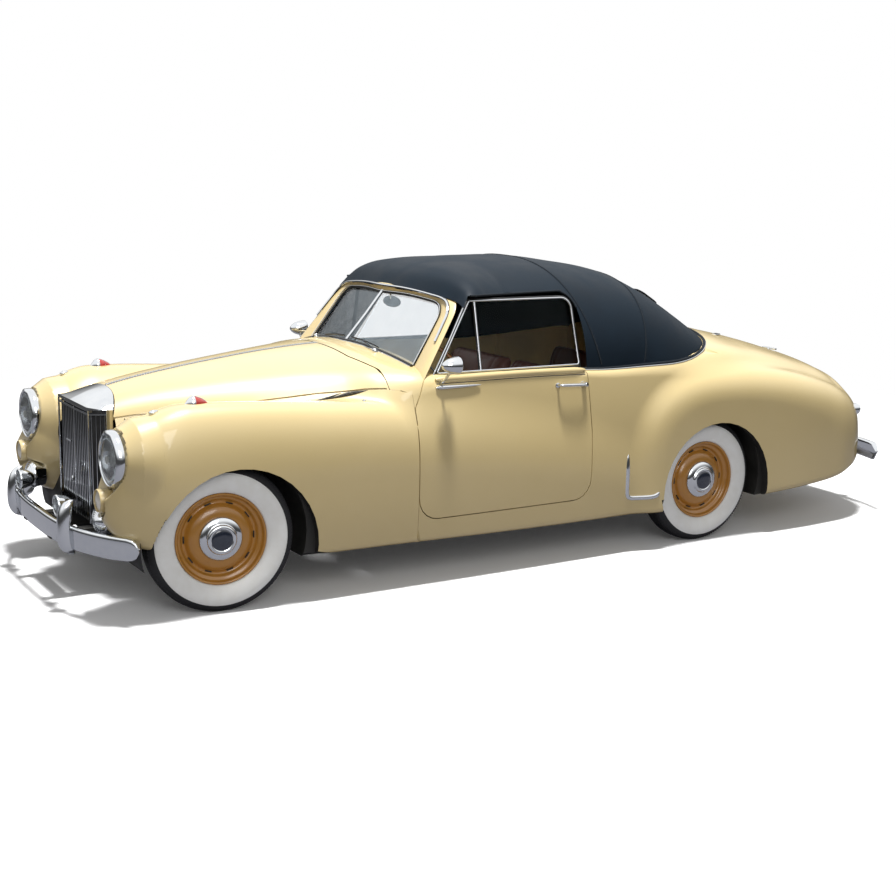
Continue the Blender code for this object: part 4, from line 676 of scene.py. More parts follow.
def panel(name, field, body, finishes, nose=False, longest=0.06, sag=0.00012,
          shortest=0.008):
    """A refined copy of a CAD panel that stands for it; a nose is drawn in from further."""
    bm = bmesh.new()
    bm.from_mesh(nodes[name].data)
    bmesh.ops.remove_doubles(bm, verts=bm.verts, dist=1e-5)
    if nose:
        bmesh.ops.bisect_plane(bm, geom=bm.verts[:] + bm.edges[:] + bm.faces[:],
                               plane_co=placed(0, NOSE_CUT, 0), plane_no=(0, -1, 0),
                               clear_outer=True)
    bmesh.ops.triangulate(bm, faces=bm.faces)
    points = np.array([v.co for v in bm.verts])
    faces = np.array([[v.index for v in f.verts] for f in bm.faces])
    bm.free()
    corner = points[faces]
    normal = np.cross(corner[:, 1] - corner[:, 0], corner[:, 2] - corner[:, 0])
    normal /= np.maximum(np.linalg.norm(normal, axis=1), 1e-12)[:, None]
    middle = corner.mean(axis=1)
    slope = steepest(field, middle)
    slope /= np.maximum(np.linalg.norm(slope, axis=1), 1e-9)[:, None]
    ahead = nose & (points[:, 1] < FRONT_AXLE - 0.24) & (points[:, 2] > 0.30)
    near = np.abs(height_over(field, points)) < np.where(ahead, 0.065, 0.006)
    facing = np.where(ahead[faces].all(axis=1), 0.35, 0.80)
    outer = near[faces].all(axis=1) & ((normal * slope).sum(1) > facing)
    outer &= ~(points[faces][:, :, 1] > FRONT_AXLE + TAIL_CAP).all(axis=1)
    used = np.unique(faces[outer])
    points[used] = laid_on(field, points[used])
    faces, outer = faces.tolist(), outer.tolist()
    for _ in range(7):
        pairs = {tuple(sorted(pair)) for face, on in zip(faces, outer) if on
                 for pair in zip(face, face[1:] + face[:1])}
        pairs = np.array(sorted(pairs))
        a, b = points[pairs[:, 0]], points[pairs[:, 1]]
        half = (a + b) / 2
        moved = laid_on(field, half)
        length = np.linalg.norm(a - b, axis=1)
        away = np.linalg.norm(moved - half, axis=1)
        split = ((length > longest) | (away > sag)) & (length > shortest) & (away < length)
        if not split.any():
            break
        middle_of = {tuple(pair): len(points) + k for k, pair in enumerate(pairs[split].tolist())}
        points = np.vstack([points, moved[split]])
        new_faces, new_outer = [], []
        for face, on in zip(faces, outer):
            mids = [middle_of.get(tuple(sorted((face[k], face[(k + 1) % 3])))) for k in range(3)]
            many = sum(m is not None for m in mids)
            if many == 0:
                parts = [face]
            elif many == 3:
                (p, q, r), (x, y, z) = face, mids
                parts = [[p, x, z], [x, q, y], [z, y, r], [x, y, z]]
            else:
                start = next(k for k in range(3) if mids[k] is not None
                             and (many == 1 or mids[(k + 1) % 3] is not None))
                p, q, r = (face[(start + k) % 3] for k in range(3))
                x, y = mids[start], mids[(start + 1) % 3]
                parts = [[p, x, r], [x, q, r]] if many == 1 else \
                    [[p, x, r], [x, q, y], [x, y, r]]
            new_faces += parts
            new_outer += [on] * len(parts)
        faces, outer = new_faces, new_outer
    return laid_shell(name + "_shell", points, faces, outer, field, body, finishes,
                      (name,))


# %% [markdown]
# ## The coachwork
# Tub, doors, bonnet halves, boot lid and front wings are laid on the skin in this way.
# Each keeps its own body, so a door opens with its own skin.

# %% Lay the coachwork
COACH = (cream, chassis_black, carpet)
shells = {
    "body_tub": panel("body_tub", skin, "body", COACH),
    "boot_lid": panel("boot_lid", skin, "boot_lid", (cream,)),
}
for side, _ in SIDES:
    shells["door_" + side] = panel("door_" + side, skin, "door_" + side,
                                   (cream,))
    shells["bonnet_" + side] = panel("bonnet_" + side, skin, "bonnet_" + side,
                                     (cream,))
    shells["wing_" + side] = panel("front_wing_" + side, wing_skin, "body",
                                   COACH, nose=True)

# %% [markdown]
# ## The wings' noses
# The nose of a front wing closes round two lamps and a horn, which sit in seats cut into
# it. Rays sent forwards from a point inside it meet the skin's rule once each, so a fan of
# rays gives a clean closed nose. One point can't see both flanks, so two fans meet at a
# plane between them.

# %% Noses by rays
def skin_height(x, s, low=0.80, high=1.25):
    """Height of the skin's top over a point, or over each of many."""
    x, s = np.broadcast_arrays(np.abs(np.asarray(x, float)), np.asarray(s, float))
    low, high = np.full(x.shape, low), np.full(x.shape, high)
    for _ in range(24):
        middle = (low + high) / 2
        inside = skin(x, s, middle) < 0
        low, high = np.where(inside, middle, low), np.where(inside, high, middle)
    return low if low.ndim else float(low)


WHEEL_BAY = 0.625              # the nose's rear wall ends above the turned wheel
LINER_RADIUS = 0.406           # of the wall ahead of the wheel, about its hub
GRILLE_FLANK = 0.2645          # a nose stops here, beside the radiator shell
PASS_LAMP, HORN = (0.632, -0.524, 0.563), (0.548, -0.505, 0.450)
# a lamp's or horn's place, the rim of its seat, and the seat's depth
SEATS = ((HEADLAMP, 0.1335, 0.010), (HEADLAMP, 0.0900, 0.045), (PASS_LAMP, 0.056, 0.030),
         (HORN, 0.0708, 0.045))
ARCH = (0.045, 0.285)          # station and height of the front arch's middle


def nose_skin(x, s, z):
    """The nose with the seats its lamps and horn sit in, and the wheel's arch."""
    field = wing_skin(x, s, z)
    for (across, ahead, up), rim, deep in SEATS:
        wide = 0.985 * rim + 0.667 * np.maximum(ahead - s, 0.0) - np.hypot(x - across, z - up)
        field = smooth_max(field, np.minimum(ahead + deep - s, wide), 0.010)
    arch = 0.403 - np.hypot(s - ARCH[0], z - ARCH[1])
    return np.where(x > 0.43, smooth_max(field, arch, 0.006), field)


def fan(start, rings=62, around=216):
    """Points where rays forward from start first leave the nose, ring by ring."""
    lean = (np.linspace(1.0, 0.0, rings) ** 0.8) * math.pi / 2
    turn = np.linspace(0, 2 * math.pi, around, endpoint=False)
    lean, turn = np.meshgrid(lean, turn, indexing="ij")
    way = np.stack([np.sin(lean) * np.cos(turn), -np.cos(lean),
                    np.sin(lean) * np.sin(turn)], axis=-1).reshape(-1, 3)
    near, still = np.zeros(len(way)), np.ones(len(way), bool)
    for reach in np.linspace(0.012, 0.48, 40):
        still &= height_over(nose_skin, start + reach * way) < 0
        near = np.where(still, reach, near)
    far = near + 0.012
    for _ in range(12):
        middle = (near + far) / 2
        inside = height_over(nose_skin, start + middle[:, None] * way) < 0
        near, far = np.where(inside, middle, near), np.where(inside, far, middle)
    return start + near[:, None] * way


def wing_nose(side, sign, rings=62, around=216, split=0.455):
    """The closed nose of one front wing, from two fans that meet at a plane."""
    bm = bmesh.new()
    for label, x, z, keep in (("outer", 0.60, 0.60, 1), ("inner", 0.37, 0.58, -1)):
        points = fan(np.array([sign * x, NOSE_CUT + FRONT_AXLE, z]))
        half = bmesh.new()
        verts = [half.verts.new(p) for p in points]
        for i in range(rings - 1):
            for j in range(around):
                k = (j + 1) % around
                a, b, c, d = (verts[i * around + j], verts[i * around + k],
                              verts[(i + 1) * around + k], verts[(i + 1) * around + j])
                half.faces.new((a, b, c) if sign > 0 else (c, b, a))
                half.faces.new((a, c, d) if sign > 0 else (d, c, a))
        bmesh.ops.remove_doubles(half, verts=half.verts, dist=1e-5)
        for at, way in ((split, keep), (GRILLE_FLANK, 1)):
            bmesh.ops.bisect_plane(half, geom=half.verts[:] + half.edges[:] + half.faces[:],
                                   plane_co=(sign * at, 0, 0), plane_no=(sign * way, 0, 0),
                                   clear_inner=True)
        piece = bpy.data.meshes.new(label)
        half.to_mesh(piece)
        half.free()
        bm.from_mesh(piece)
        if keep < 0:
            continue
        ring = [Vector((sign * max(split, sign * p[0]), p[1] - 0.002,
                        max(WHEEL_BAY, z + 0.985 * (p[2] - z)))) for p in points[:around]]
        wall = bmesh.new()
        wall.faces.new([wall.verts.new(p) for p in ring])
        bmesh.ops.solidify(wall, geom=wall.faces[:], thickness=0.002)
        finished(wall, "nose_bulkhead_" + side, chassis_black, "body")
    bmesh.ops.triangulate(bm, faces=bm.faces)
    bm.normal_update()
    if sum(f.normal.y for f in bm.faces) > 0:
        bmesh.ops.reverse_faces(bm, faces=bm.faces)
    points = np.array([v.co for v in bm.verts])
    faces = [[v.index for v in f.verts] for f in bm.faces]
    bm.free()
    centre = points[np.array(faces)].mean(axis=1)
    outer = (np.abs(centre[:, 0]) < 0.44) | \
        (np.hypot(centre[:, 1] - FRONT_AXLE - ARCH[0], centre[:, 2] - ARCH[1]) > 0.4075)
    # the arch's wall stops at its lip, so that the turned wheel has its room
    kept = outer | (np.abs(centre[:, 0]) > 0.80)
    faces = [face for face, keep in zip(faces, kept) if keep]
    laid_shell("wing_nose_" + side, points, faces, outer[kept].tolist(), nose_skin, "body",
               (cream, chassis_black, chassis_black))
    liner = [[placed(sign * x, LINER_RADIUS * math.cos(a),
                     TYRE_RADIUS + LINER_RADIUS * math.sin(a))
              for x in (0.425, 0.54, 0.65, 0.765)]
             for a in np.linspace(math.radians(138), math.radians(196), 16)]
    bm = skin_mesh(liner)
    bmesh.ops.solidify(bm, geom=bm.faces[:], thickness=0.002)
    finished(bm, "wheel_bay_liner_" + side, chassis_black, "body")


for side, sign in SIDES:
    wing_nose(side, sign)

# %% [markdown]
# ## Repeating a small piece
# Slots, slats, stitches and hinge knuckles are one small shape many times over. Copying
# by hand is hard to change later; an array modifier bends badly along a curve. Geometry
# Nodes turn a curve into evenly spaced points and put a copy on each. The tree ends in
# Realize Instances and Set Material, and its result is kept as plain mesh.

# %% A Geometry Nodes tree that repeats a piece along a curve
def repeat_tree():
    """Curve in, copies out; inputs are the piece, the count and the finish."""
    tree = bpy.data.node_groups.new("repeat along a curve", "GeometryNodeTree")
    for label, way, kind in (("Path", "INPUT", "NodeSocketGeometry"),
                             ("Piece", "INPUT", "NodeSocketObject"),
                             ("Count", "INPUT", "NodeSocketInt"),
                             ("Unevenness", "INPUT", "NodeSocketFloat"),
                             ("Seed", "INPUT", "NodeSocketInt"),
                             ("Finish", "INPUT", "NodeSocketMaterial"),
                             ("Copies", "OUTPUT", "NodeSocketGeometry")):
        tree.interface.new_socket(name=label, in_out=way, socket_type=kind)
    given = add(tree, "NodeGroupInput").outputs
    level = add(tree, "GeometryNodeSetCurveNormal", {"Curve": given["Path"]}, mode="Z_UP")
    points = add(tree, "GeometryNodeCurveToPoints", {"Curve": level.outputs["Curve"],
                                                     "Count": given["Count"]}, mode="COUNT")
    piece = add(tree, "GeometryNodeObjectInfo", {"Object": given["Piece"]})
    least = add(tree, "ShaderNodeMath", {0: 1.0, 1: given["Unevenness"]},
                operation="SUBTRACT")
    size = add(tree, "FunctionNodeRandomValue", {"Seed": given["Seed"]}, data_type="FLOAT")
    tree.links.new(least.outputs[0], size.inputs[2])
    size.inputs[3].default_value = 1.0
    copies = add(tree, "GeometryNodeInstanceOnPoints",
                 {"Points": points.outputs["Points"], "Instance": piece.outputs["Geometry"],
                  "Rotation": points.outputs["Rotation"], "Scale": size.outputs[1]})
    real = add(tree, "GeometryNodeRealizeInstances",
               {"Geometry": copies.outputs["Instances"]})
    done = add(tree, "GeometryNodeSetMaterial",
               {"Geometry": real.outputs["Geometry"], "Material": given["Finish"]})
    add(tree, "NodeGroupOutput", {"Copies": done.outputs["Geometry"]})
    return tree


REPEAT = repeat_tree()


def repeated(name, path, small, count, finish=chrome, body="body",
             closed=False, unevenness=0.0):
    """Copies of a small bmesh along a path; its Z lies along the path, its Y downwards."""
    if isinstance(small, bmesh.types.BMesh):
        shape = bpy.data.meshes.new(name + "_unit")
        small.to_mesh(shape)
        small.free()
        small = bpy.data.objects.new(name + "_unit", shape)
    line = bpy.data.curves.new(name + "_path", "CURVE")
    line.dimensions = "3D"
    spline = line.splines.new("POLY")
    spline.points.add(len(path) - 1)
    for point, at in zip(spline.points, path):
        point.co = (*at, 1.0)
    spline.use_cyclic_u = closed
    host = bpy.data.objects.new(name, line)
    bpy.context.scene.collection.objects.link(host)
    step = host.modifiers.new("repeat", "NODES")
    step.node_group = REPEAT
    for socket in REPEAT.interface.items_tree:
        value = {"Piece": small, "Count": count, "Finish": finish, "Seed": 7,
                 "Unevenness": unevenness}.get(socket.name)
        if value is not None:
            step[socket.identifier] = value
    bpy.context.view_layer.update()
    graph = bpy.context.evaluated_depsgraph_get()
    mesh = bpy.data.meshes.new_from_object(host.evaluated_get(graph))
    bpy.data.objects.remove(host, do_unlink=True)
    bpy.data.objects.remove(small, do_unlink=True)
    mesh.name = name
    smoothed(mesh, 35)
    return joined_to(bpy.data.objects.new(name, mesh), body)


def lozenge(width, height, length, bevel=0.3):
    """A small rounded block for repeating: X wide, Y high, Z long."""
    bm = bmesh.new()
    bmesh.ops.create_cube(bm, size=1.0)
    bmesh.ops.scale(bm, vec=(width, height, length), verts=bm.verts)
    bmesh.ops.bevel(bm, geom=bm.edges[:], offset=min(width, height, length) * bevel,
                    segments=2, affect="EDGES", profile=0.5)
    return bm


# %% [markdown]
# ## Wheels and tyres
# A pressed steel disc wheel is riveted into a rolled rim and stoved in ochre; a chromium
# cap snaps over its hub. A crossply tyre of six inches bulges well outside the rim, and
# its outer side wears a wide white band. All of these are turned shapes, so profiles are
# spun with about a hundred sides. The shoulder blocks repeat, and so do black blocks over
# the ventilating slots, which are painted shade for the dark seen through them.

# %% Profiles of wheel, cap and tyre
RIM = [(0.0, 0.0), (0.150, 0.0), (0.196, -0.004), (0.203, -0.054), (0.2130, -0.060),
       (0.2166, -0.056), (0.2150, 0.0), (0.2160, 0.054), (0.2166, 0.060), (0.2145, 0.0635),
       (0.2105, 0.0640), (0.2070, 0.0615), (0.2045, 0.0560), (0.2030, 0.0480),
       (0.2005, 0.0420), (0.1965, 0.0385), (0.1905, 0.0365), (0.1860, 0.0340),
       (0.1830, 0.0290), (0.1800, 0.0215), (0.1755, 0.0165), (0.1695, 0.0150),
       (0.1640, 0.0165), (0.1600, 0.0200), (0.1560, 0.0265), (0.1500, 0.0340),
       (0.1400, 0.0410), (0.1290, 0.0455), (0.1180, 0.0480), (0.1080, 0.0490),
       (0.0900, 0.0490), (0.0, 0.0490)]
CAP = [(0.0, 0.046), (0.100, 0.046), (0.1030, 0.0475), (0.1040, 0.0510), (0.1025, 0.0560),
       (0.0990, 0.0600), (0.0930, 0.0640), (0.0850, 0.0670), (0.0770, 0.0690),
       (0.0725, 0.0700), (0.0700, 0.0730), (0.0685, 0.0765), (0.0650, 0.0795),
       (0.0600, 0.0812), (0.0560, 0.0815), (0.0530, 0.0805), (0.0515, 0.0790), (0.0, 0.0790)]
DISC = [(0.0, 0.078), (0.0512, 0.0785), (0.0500, 0.0800), (0.0420, 0.0825), (0.0300, 0.0845),
        (0.0150, 0.0855), (0.0, 0.0858)]
SIDEWALL = smooth_path([(0.2170, 0.0560), (0.2230, 0.0640), (0.2400, 0.0725), (0.2630, 0.0775),
                        (0.2860, 0.0789), (0.3080, 0.0755), (0.3250, 0.0670),
                        (0.3380, 0.0560)], 3)
TREAD = [(0.3440, 0.0480), (0.3490, 0.0400), (0.3500, 0.0350), (0.3502, 0.0335),
         (0.3450, 0.0330), (0.3450, 0.0300), (0.3510, 0.0295), (0.3514, 0.0170),
         (0.3460, 0.0165), (0.3460, 0.0135), (0.3517, 0.0130), (0.3520, 0.0020),
         (0.3465, 0.0015)]
HALF_TYRE = [tuple(p) for p in SIDEWALL] + TREAD
TYRE = [(r, -d) for r, d in HALF_TYRE] + [(r, d) for r, d in HALF_TYRE[::-1]]
BAND = [p for p in SIDEWALL if p[0] < 0.3185]


def band_profile():
    """The white band: the sidewall's own line, raised a millimetre with rolled edges."""
    raised = []
    for i, (r, d) in enumerate(BAND):
        t = i / (len(BAND) - 1)
        lift = 0.0011 * min(1.0, 12 * t, 12 * (1 - t)) ** 0.5
        raised.append((r, d + lift))
    return raised + [(r, d - 0.002) for r, d in BAND[::-1]]


# %% Build the four wheels
# hub and outward axis; at rest the front wheels are turned seven degrees to the right
WHEELS = {
    "front_left": ((0.6993, -1.8816, TYRE_RADIUS), (0.99255, -0.12187, 0.0)),
    "front_right": ((-0.6993, -1.8584, TYRE_RADIUS), (-0.99255, 0.12187, 0.0)),
    "rear_left": ((0.70, 1.01, TYRE_RADIUS), (1.0, 0.0, 0.0)),
    "rear_right": ((-0.70, 1.01, TYRE_RADIUS), (-1.0, 0.0, 0.0)),
}


def circle(centre, axis, radius, out, count=96):
    """Points of a circle that stands off a hub by a distance along its axis."""
    side, lift = frame_of(axis)
    centre = Vector(centre) + Vector(axis).normalized() * out
    return [centre + side * radius * math.cos(2 * math.pi * k / count)
            + lift * radius * math.sin(2 * math.pi * k / count) for k in range(count)]


for where, (hub, axis) in WHEELS.items():
    body = "wheel_" + where
    finished(spin(RIM, hub, axis, 96), "disc_wheel_" + where, ochre, body,
             smooth=50, stands_for=("wheel_" + where,))
    finished(spin(TYRE, hub, axis, 120, loop=True), "tyre_carcass_" + where, tyre_black, body,
             smooth=40, stands_for=("tyre_" + where,))
    finished(spin(band_profile(), hub, axis, 120, loop=True), "white_band_" + where,
             whitewall, body, smooth=60)
    finished(spin(CAP, hub, axis, 96), "hub_cap_" + where, chrome, body, smooth=50)
    finished(spin(DISC, hub, axis, 64), "hub_cap_centre_" + where, hub_enamel, body,
             smooth=50)
    # the slots are not cut: black blocks laid on the disc are painted shade for the dark seen
    # through them
    repeated("wheel_slots_" + where, circle(hub, axis, 0.1665, 0.0160),
             lozenge(0.012, 0.006, 0.034, 0.45), 10, seal, body, closed=True)
    for label, out in (("tread_blocks_", 0.0490), ("inner_blocks_", -0.0490)):
        repeated(label + where, circle(hub, axis, 0.3395, out),
                 lozenge(0.010, 0.008, 0.0075, 0.15), 130, tyre_black, body,
                 closed=True)
tell("wheels")

# %% [markdown]
# ## The top
# The top is canvas stretched over three wooden bows, pulled down and tacked round the
# base. One skin is right for it: seams only join cloth to cloth. The CAD dome's rule is
# repeated here, the canvas falls a little between the bows, and the quarters are hollow
# where the cloth is pulled tight. It is a thin sheet, so the shell is only canvas deep.

# %% The rule of the top
TOP_LINE = (
    (1.235, 1.418), (1.300, 1.490), (1.370, 1.530), (1.480, 1.556), (1.650, 1.571),
    (1.890, 1.579), (2.180, 1.558), (2.430, 1.518), (2.600, 1.470), (2.750, 1.405),
    (2.880, 1.325), (2.990, 1.248), (3.080, 1.190), (3.150, 1.145), (3.205, 1.105))
top_line = curve(TOP_LINE, 1)
BOWS = (1.62, 2.06, 2.47)      # stations of the bows
CANVAS = 0.003                 # thickness of the cloth
CANVAS_IN = 0.0035             # its middle lies this far inside the CAD dome


def top_half(s):
    """Half width of the top, which draws in behind the last bow."""
    run = np.clip((s - 2.4) / 0.83, 0.0, 0.9999)
    return 0.735 * (1 - run ** 3) ** (1 / 3)


def top_point(s, turn, lift=0.0):
    """A point of the canvas: station of its middle, and turn from side to side."""
    half = float(top_half(s)) - CANVAS_IN + lift
    height = float(top_line(s)) - CANVAS_IN + lift
    ahead = min(max((1.65 - s) / 0.41, 0.0), 1.0)
    base, square = 0.95 + 0.25 * ahead, 2.5 + 1.7 * ahead
    c, v = math.cos(turn), math.sin(turn)
    x = half * bent(c, 2 / square)
    rise = abs(v) ** (2 / square)
    swept = s + 0.085 * min(abs(x) / 0.6, 1.0) ** 2 * max(0.0, (1.48 - s) / 0.245)
    z = base + (height - base) * rise
    for before, after in zip(BOWS, BOWS[1:]):
        if before < s < after:
            sag = math.sin(math.pi * (s - before) / (after - before)) ** 2
            z -= 0.004 * sag * rise ** 2
    if 2.50 < s < 3.16:
        z -= 0.026 * math.sin(math.pi * (s - 2.50) / 0.66) ** 1.2 * rise
    hollow = max(0.0, 1 - ((s - 2.72) / 0.26) ** 2) * max(0.0, 1 - ((rise - 0.55) / 0.42) ** 2)
    x *= 1 - 0.025 * hollow
    return Vector((x, swept + FRONT_AXLE, z))


# %% Cut the canvas from the rule
def rounded(corners, radii, steps=6):
    """An outline whose corners are arcs."""
    out = []
    for i, (corner, radius) in enumerate(zip(corners, radii)):
        here = Vector(corner)
        to_before = (Vector(corners[i - 1]) - here).normalized()
        to_after = (Vector(corners[(i + 1) % len(corners)]) - here).normalized()
        if radius == 0:
            out.append(tuple(here))
            continue
        half = to_before.angle(to_after) / 2
        centre = here + (to_before + to_after).normalized() * radius / math.sin(half)
        first = here + to_before * radius / math.tan(half) - centre
        last = here + to_after * radius / math.tan(half) - centre
        begin = math.atan2(first.y, first.x)
        sweep = (math.atan2(last.y, last.x) - begin + math.pi) % (2 * math.pi) - math.pi
        out += [(centre.x + radius * math.cos(begin + sweep * k / steps),
                 centre.y + radius * math.sin(begin + sweep * k / steps))
                for k in range(steps + 1)]
    return out


def prism(outline, low, high, lay):
    """A bmesh of an outline drawn out from low to high."""
    return solid([[lay(u, v, w) for u, v in outline] for w in (low, high)])


def as_cutter(bm, name):
    """An object for a boolean; it is removed after the cut."""
    bmesh.ops.recalc_face_normals(bm, faces=bm.faces)
    mesh = bpy.data.meshes.new(name)
    bm.to_mesh(mesh)
    bm.free()
    item = bpy.data.objects.new(name, mesh)
    bpy.context.scene.collection.objects.link(item)
    return item


def cut(item, *cutters):
    """Takes cutters away from an object and keeps the result as its mesh."""
    for cutter in cutters:
        step = item.modifiers.new("cut", "BOOLEAN")
        step.object, step.solver = cutter, "EXACT"
    bpy.context.view_layer.update()
    graph = bpy.context.evaluated_depsgraph_get()
    mesh = bpy.data.meshes.new_from_object(item.evaluated_get(graph))
    item.modifiers.clear()
    item.data = mesh
    for cutter in cutters:
        bpy.data.objects.remove(cutter, do_unlink=True)
    return item


def sideways(u, v, w):
    """Lays an outline of stations and heights across the car."""
    return Vector((w, u + FRONT_AXLE, v))


def rear_plane(u, v, w):
    """Lays an outline on the slope behind the last bow, w along its normal."""
    return placed(u, 2.855 - 0.80 * v + 0.60 * w, 1.333 + 0.60 * v + 0.80 * w)


WINDOW_WAY = rounded([(1.00, 0.80), (2.070, 0.80), (2.048, 1.420), (1.362, 1.420),
                      (1.08, 1.03)], [0.0, 0.0, 0.085, 0.012, 0.0])
REAR_LIGHT = rounded([(-0.27, -0.060), (0.27, -0.060), (0.25, 0.075), (-0.25, 0.075)],
                     [0.035] * 4)
stations = np.concatenate([np.linspace(1.236, 1.48, 18), np.linspace(1.50, 2.9, 70),
                           np.linspace(2.915, 3.204, 24)])
turns = np.linspace(0, math.pi, 97)
bm = skin_mesh([[top_point(float(s), float(t)) for t in turns] for s in stations])
bm.normal_update()
print("canvas grid:", len(stations), "by", len(turns))


def under_skin(p):
    """True where a point of the top is inside the body."""
    return float(skin(abs(p.x), p.y - FRONT_AXLE, p.z)) < -0.001


def trimmed_canvas(bm):
    """Slides the lowest canvas corners onto the body, and drops what is inside it."""
    inside = {v: under_skin(v.co) for v in bm.verts}
    for v in list(bm.verts):
        if not inside[v]:
            continue
        beyond = [e.other_vert(v) for e in v.link_edges if not inside[e.other_vert(v)]]
        if beyond:
            v.co = closing_on(v.co.copy(), beyond[0].co.copy(), under_skin, 14)
            v.tag = True
    gone = [v for v in bm.verts if inside[v] and not v.tag]
    bmesh.ops.delete(bm, geom=gone, context="VERTS")
    return bm


bm = trimmed_canvas(bm)
mesh = bpy.data.meshes.new("canvas_top")
bm.to_mesh(mesh)
bm.free()
top = bpy.data.objects.new("canvas_top", mesh)
bpy.context.scene.collection.objects.link(top)
thick = top.modifiers.new("canvas thickness", "SOLIDIFY")
thick.thickness, thick.offset = CANVAS, 0.0
cut(top, as_cutter(prism(WINDOW_WAY, 0.50, 1.0, sideways), "way_left"),
    as_cutter(prism(WINDOW_WAY, -1.0, -0.50, sideways), "way_right"),
    as_cutter(prism(REAR_LIGHT, -0.10, 0.10, rear_plane), "rear_light"))
top.data.materials.clear()
top.data.materials.append(canvas)
smoothed(top.data, 50)
joined_to(top, "body", ("soft_top",))

# %% [markdown]
# ## Radiator grille
# The grille is a plated brass shell with thin upright slats that shade the radiator.
# The slats are all alike, so one slat is repeated along the shell's front, and again
# along its short returns. Deep black blades repeated with the front slats are painted
# shade that makes the grille's depth read dark. A dark core stands behind them, a fine
# moulding frames them, and a peaked cover closes the top and meets the bonnet's edge.

# %% Core, slats and mouldings
def block_between(low, high, bevel=0.002, segments=2):
    """A softened block between two corners, as a pressed or cast edge is never sharp."""
    bm = bmesh.new()
    bmesh.ops.create_cube(bm, size=1.0)
    low, high = Vector(low), Vector(high)
    bmesh.ops.scale(bm, vec=high - low, verts=bm.verts)
    bmesh.ops.translate(bm, vec=(high + low) / 2, verts=bm.verts)
    bmesh.ops.bevel(bm, geom=bm.edges[:], offset=bevel, segments=segments, affect="EDGES")
    return bm


SLAT_FOOT, SLAT_HEAD = 0.358, 0.876
SHELL_FOOT, SHELL_HEAD = 0.357, 0.899
core_outline = [(-0.2215, -0.386), (0.2215, -0.386), (0.2215, -0.418), (-0.2215, -0.418)]
finished(prism(core_outline, SHELL_FOOT, SHELL_HEAD, placed), "radiator_core", tyre_black,
         stands_for=("radiator_grille",))


def slat(depth, width, tall):
    """An upright blade with a rounded front edge; its Y is the way it stands tall."""
    outline = [(width / 2, 0.0), (width / 2, depth - 0.002), (width * 0.25, depth),
               (-width * 0.25, depth), (-width / 2, depth - 0.002), (-width / 2, 0.0)]
    rows = [[Vector((side, up, across)) for across, side in outline]
            for up in np.linspace(-tall / 2, tall / 2, 2)]
    return solid(rows)


def grille_post(name, x, s, radius, head=SHELL_HEAD):
    """A round upright of the shell."""
    line = [placed(x, s, z) for z in np.linspace(SHELL_FOOT, head, 6)]
    finished(swept(line, round_bar(radius, 12), up=(0, -1, 0)), name)


tall = SLAT_HEAD - SLAT_FOOT
mid = (SLAT_HEAD + SLAT_FOOT) / 2
# the first row, black blades, is painted shade for the grille's depth; the second is the chrome
# slats
for label, s, section, finish in (("blades", -0.424, (0.022, 0.004), chassis_black),
                                  ("slats", -0.4445, (0.0060, 0.0085), chrome)):
    row = [placed(x, s, mid) for x in (-0.2085, 0.2085)]
    repeated("grille_" + label + "_front", row, slat(*section, tall), 17, finish)
for side, sign in SIDES:
    path = [placed(sign * 0.2235, -0.440, mid), placed(sign * 0.2475, -0.384, mid)]
    repeated("grille_slats_" + side, path[::sign], slat(0.006, 0.0045, tall), 4)
    plate = [(0.212, -0.436), (0.2215, -0.436), (0.2475, -0.374), (0.238, -0.374)]
    plate = [(sign * x, s) for x, s in plate]
    finished(prism(plate, SHELL_FOOT, SHELL_HEAD, placed), "grille_return_" + side, tyre_black)
    grille_post("grille_corner_" + side, sign * 0.2265, -0.4585, 0.0045)
    grille_post("grille_edge_" + side, sign * 0.2555, -0.378, 0.0035, 0.905)
grille_post("grille_centre_bar", 0.0, -0.4535, 0.0040)
rail = [placed(sign * x, s, 0.8795) for sign, x, s in
        ((-1, 0.254, -0.380), (-1, 0.2265, -0.456), (1, 0.0, -0.460), (1, 0.2265, -0.456),
         (1, 0.254, -0.380))]
finished(swept(rail, box_bar(0.003, 0.004)), "grille_top_moulding")
header = [(-0.2225, -0.380), (-0.2215, -0.447), (0.0, -0.451), (0.2215, -0.447),
          (0.2225, -0.380)]
finished(prism(header, 0.884, SHELL_HEAD, placed), "grille_header", hub_enamel)
# a plain crank-hole cover low on the slats, and a small clip higher up, both unlettered
finished(spin([(0, 0), (0.013, 0), (0.0145, 0.003), (0.012, 0.006), (0, 0.008)],
              placed(-0.055, -0.4515, 0.520), (0, -1, 0), 24), "crank_hole_cover")
finished(block_between(placed(-0.135, -0.456, 0.700), placed(-0.065, -0.449, 0.708)),
         "grille_clip")
tell("grille")


# %% The peaked cover
def cover_point(across, along):
    """A point of the cover: across from -1 to 1, along from the grille to the bonnet."""
    a = abs(across)
    front = Vector((0.2275 * across, -0.4725 + 0.010 * a, 0.9205 - 0.0065 * a))
    rear_s = -0.3005 - 0.0480 * a ** 2.5
    back = Vector((0.262 * across, rear_s, skin_height(0.262 * a, rear_s + 0.004) + 0.0005))
    t = along
    return Vector(placed(front.x + (back.x - front.x) * t,
                         front.y + (back.y - front.y) * t,
                         front.z + (back.z - front.z) * t
                         + 0.006 * math.sin(math.pi * t) * (1 - a)))


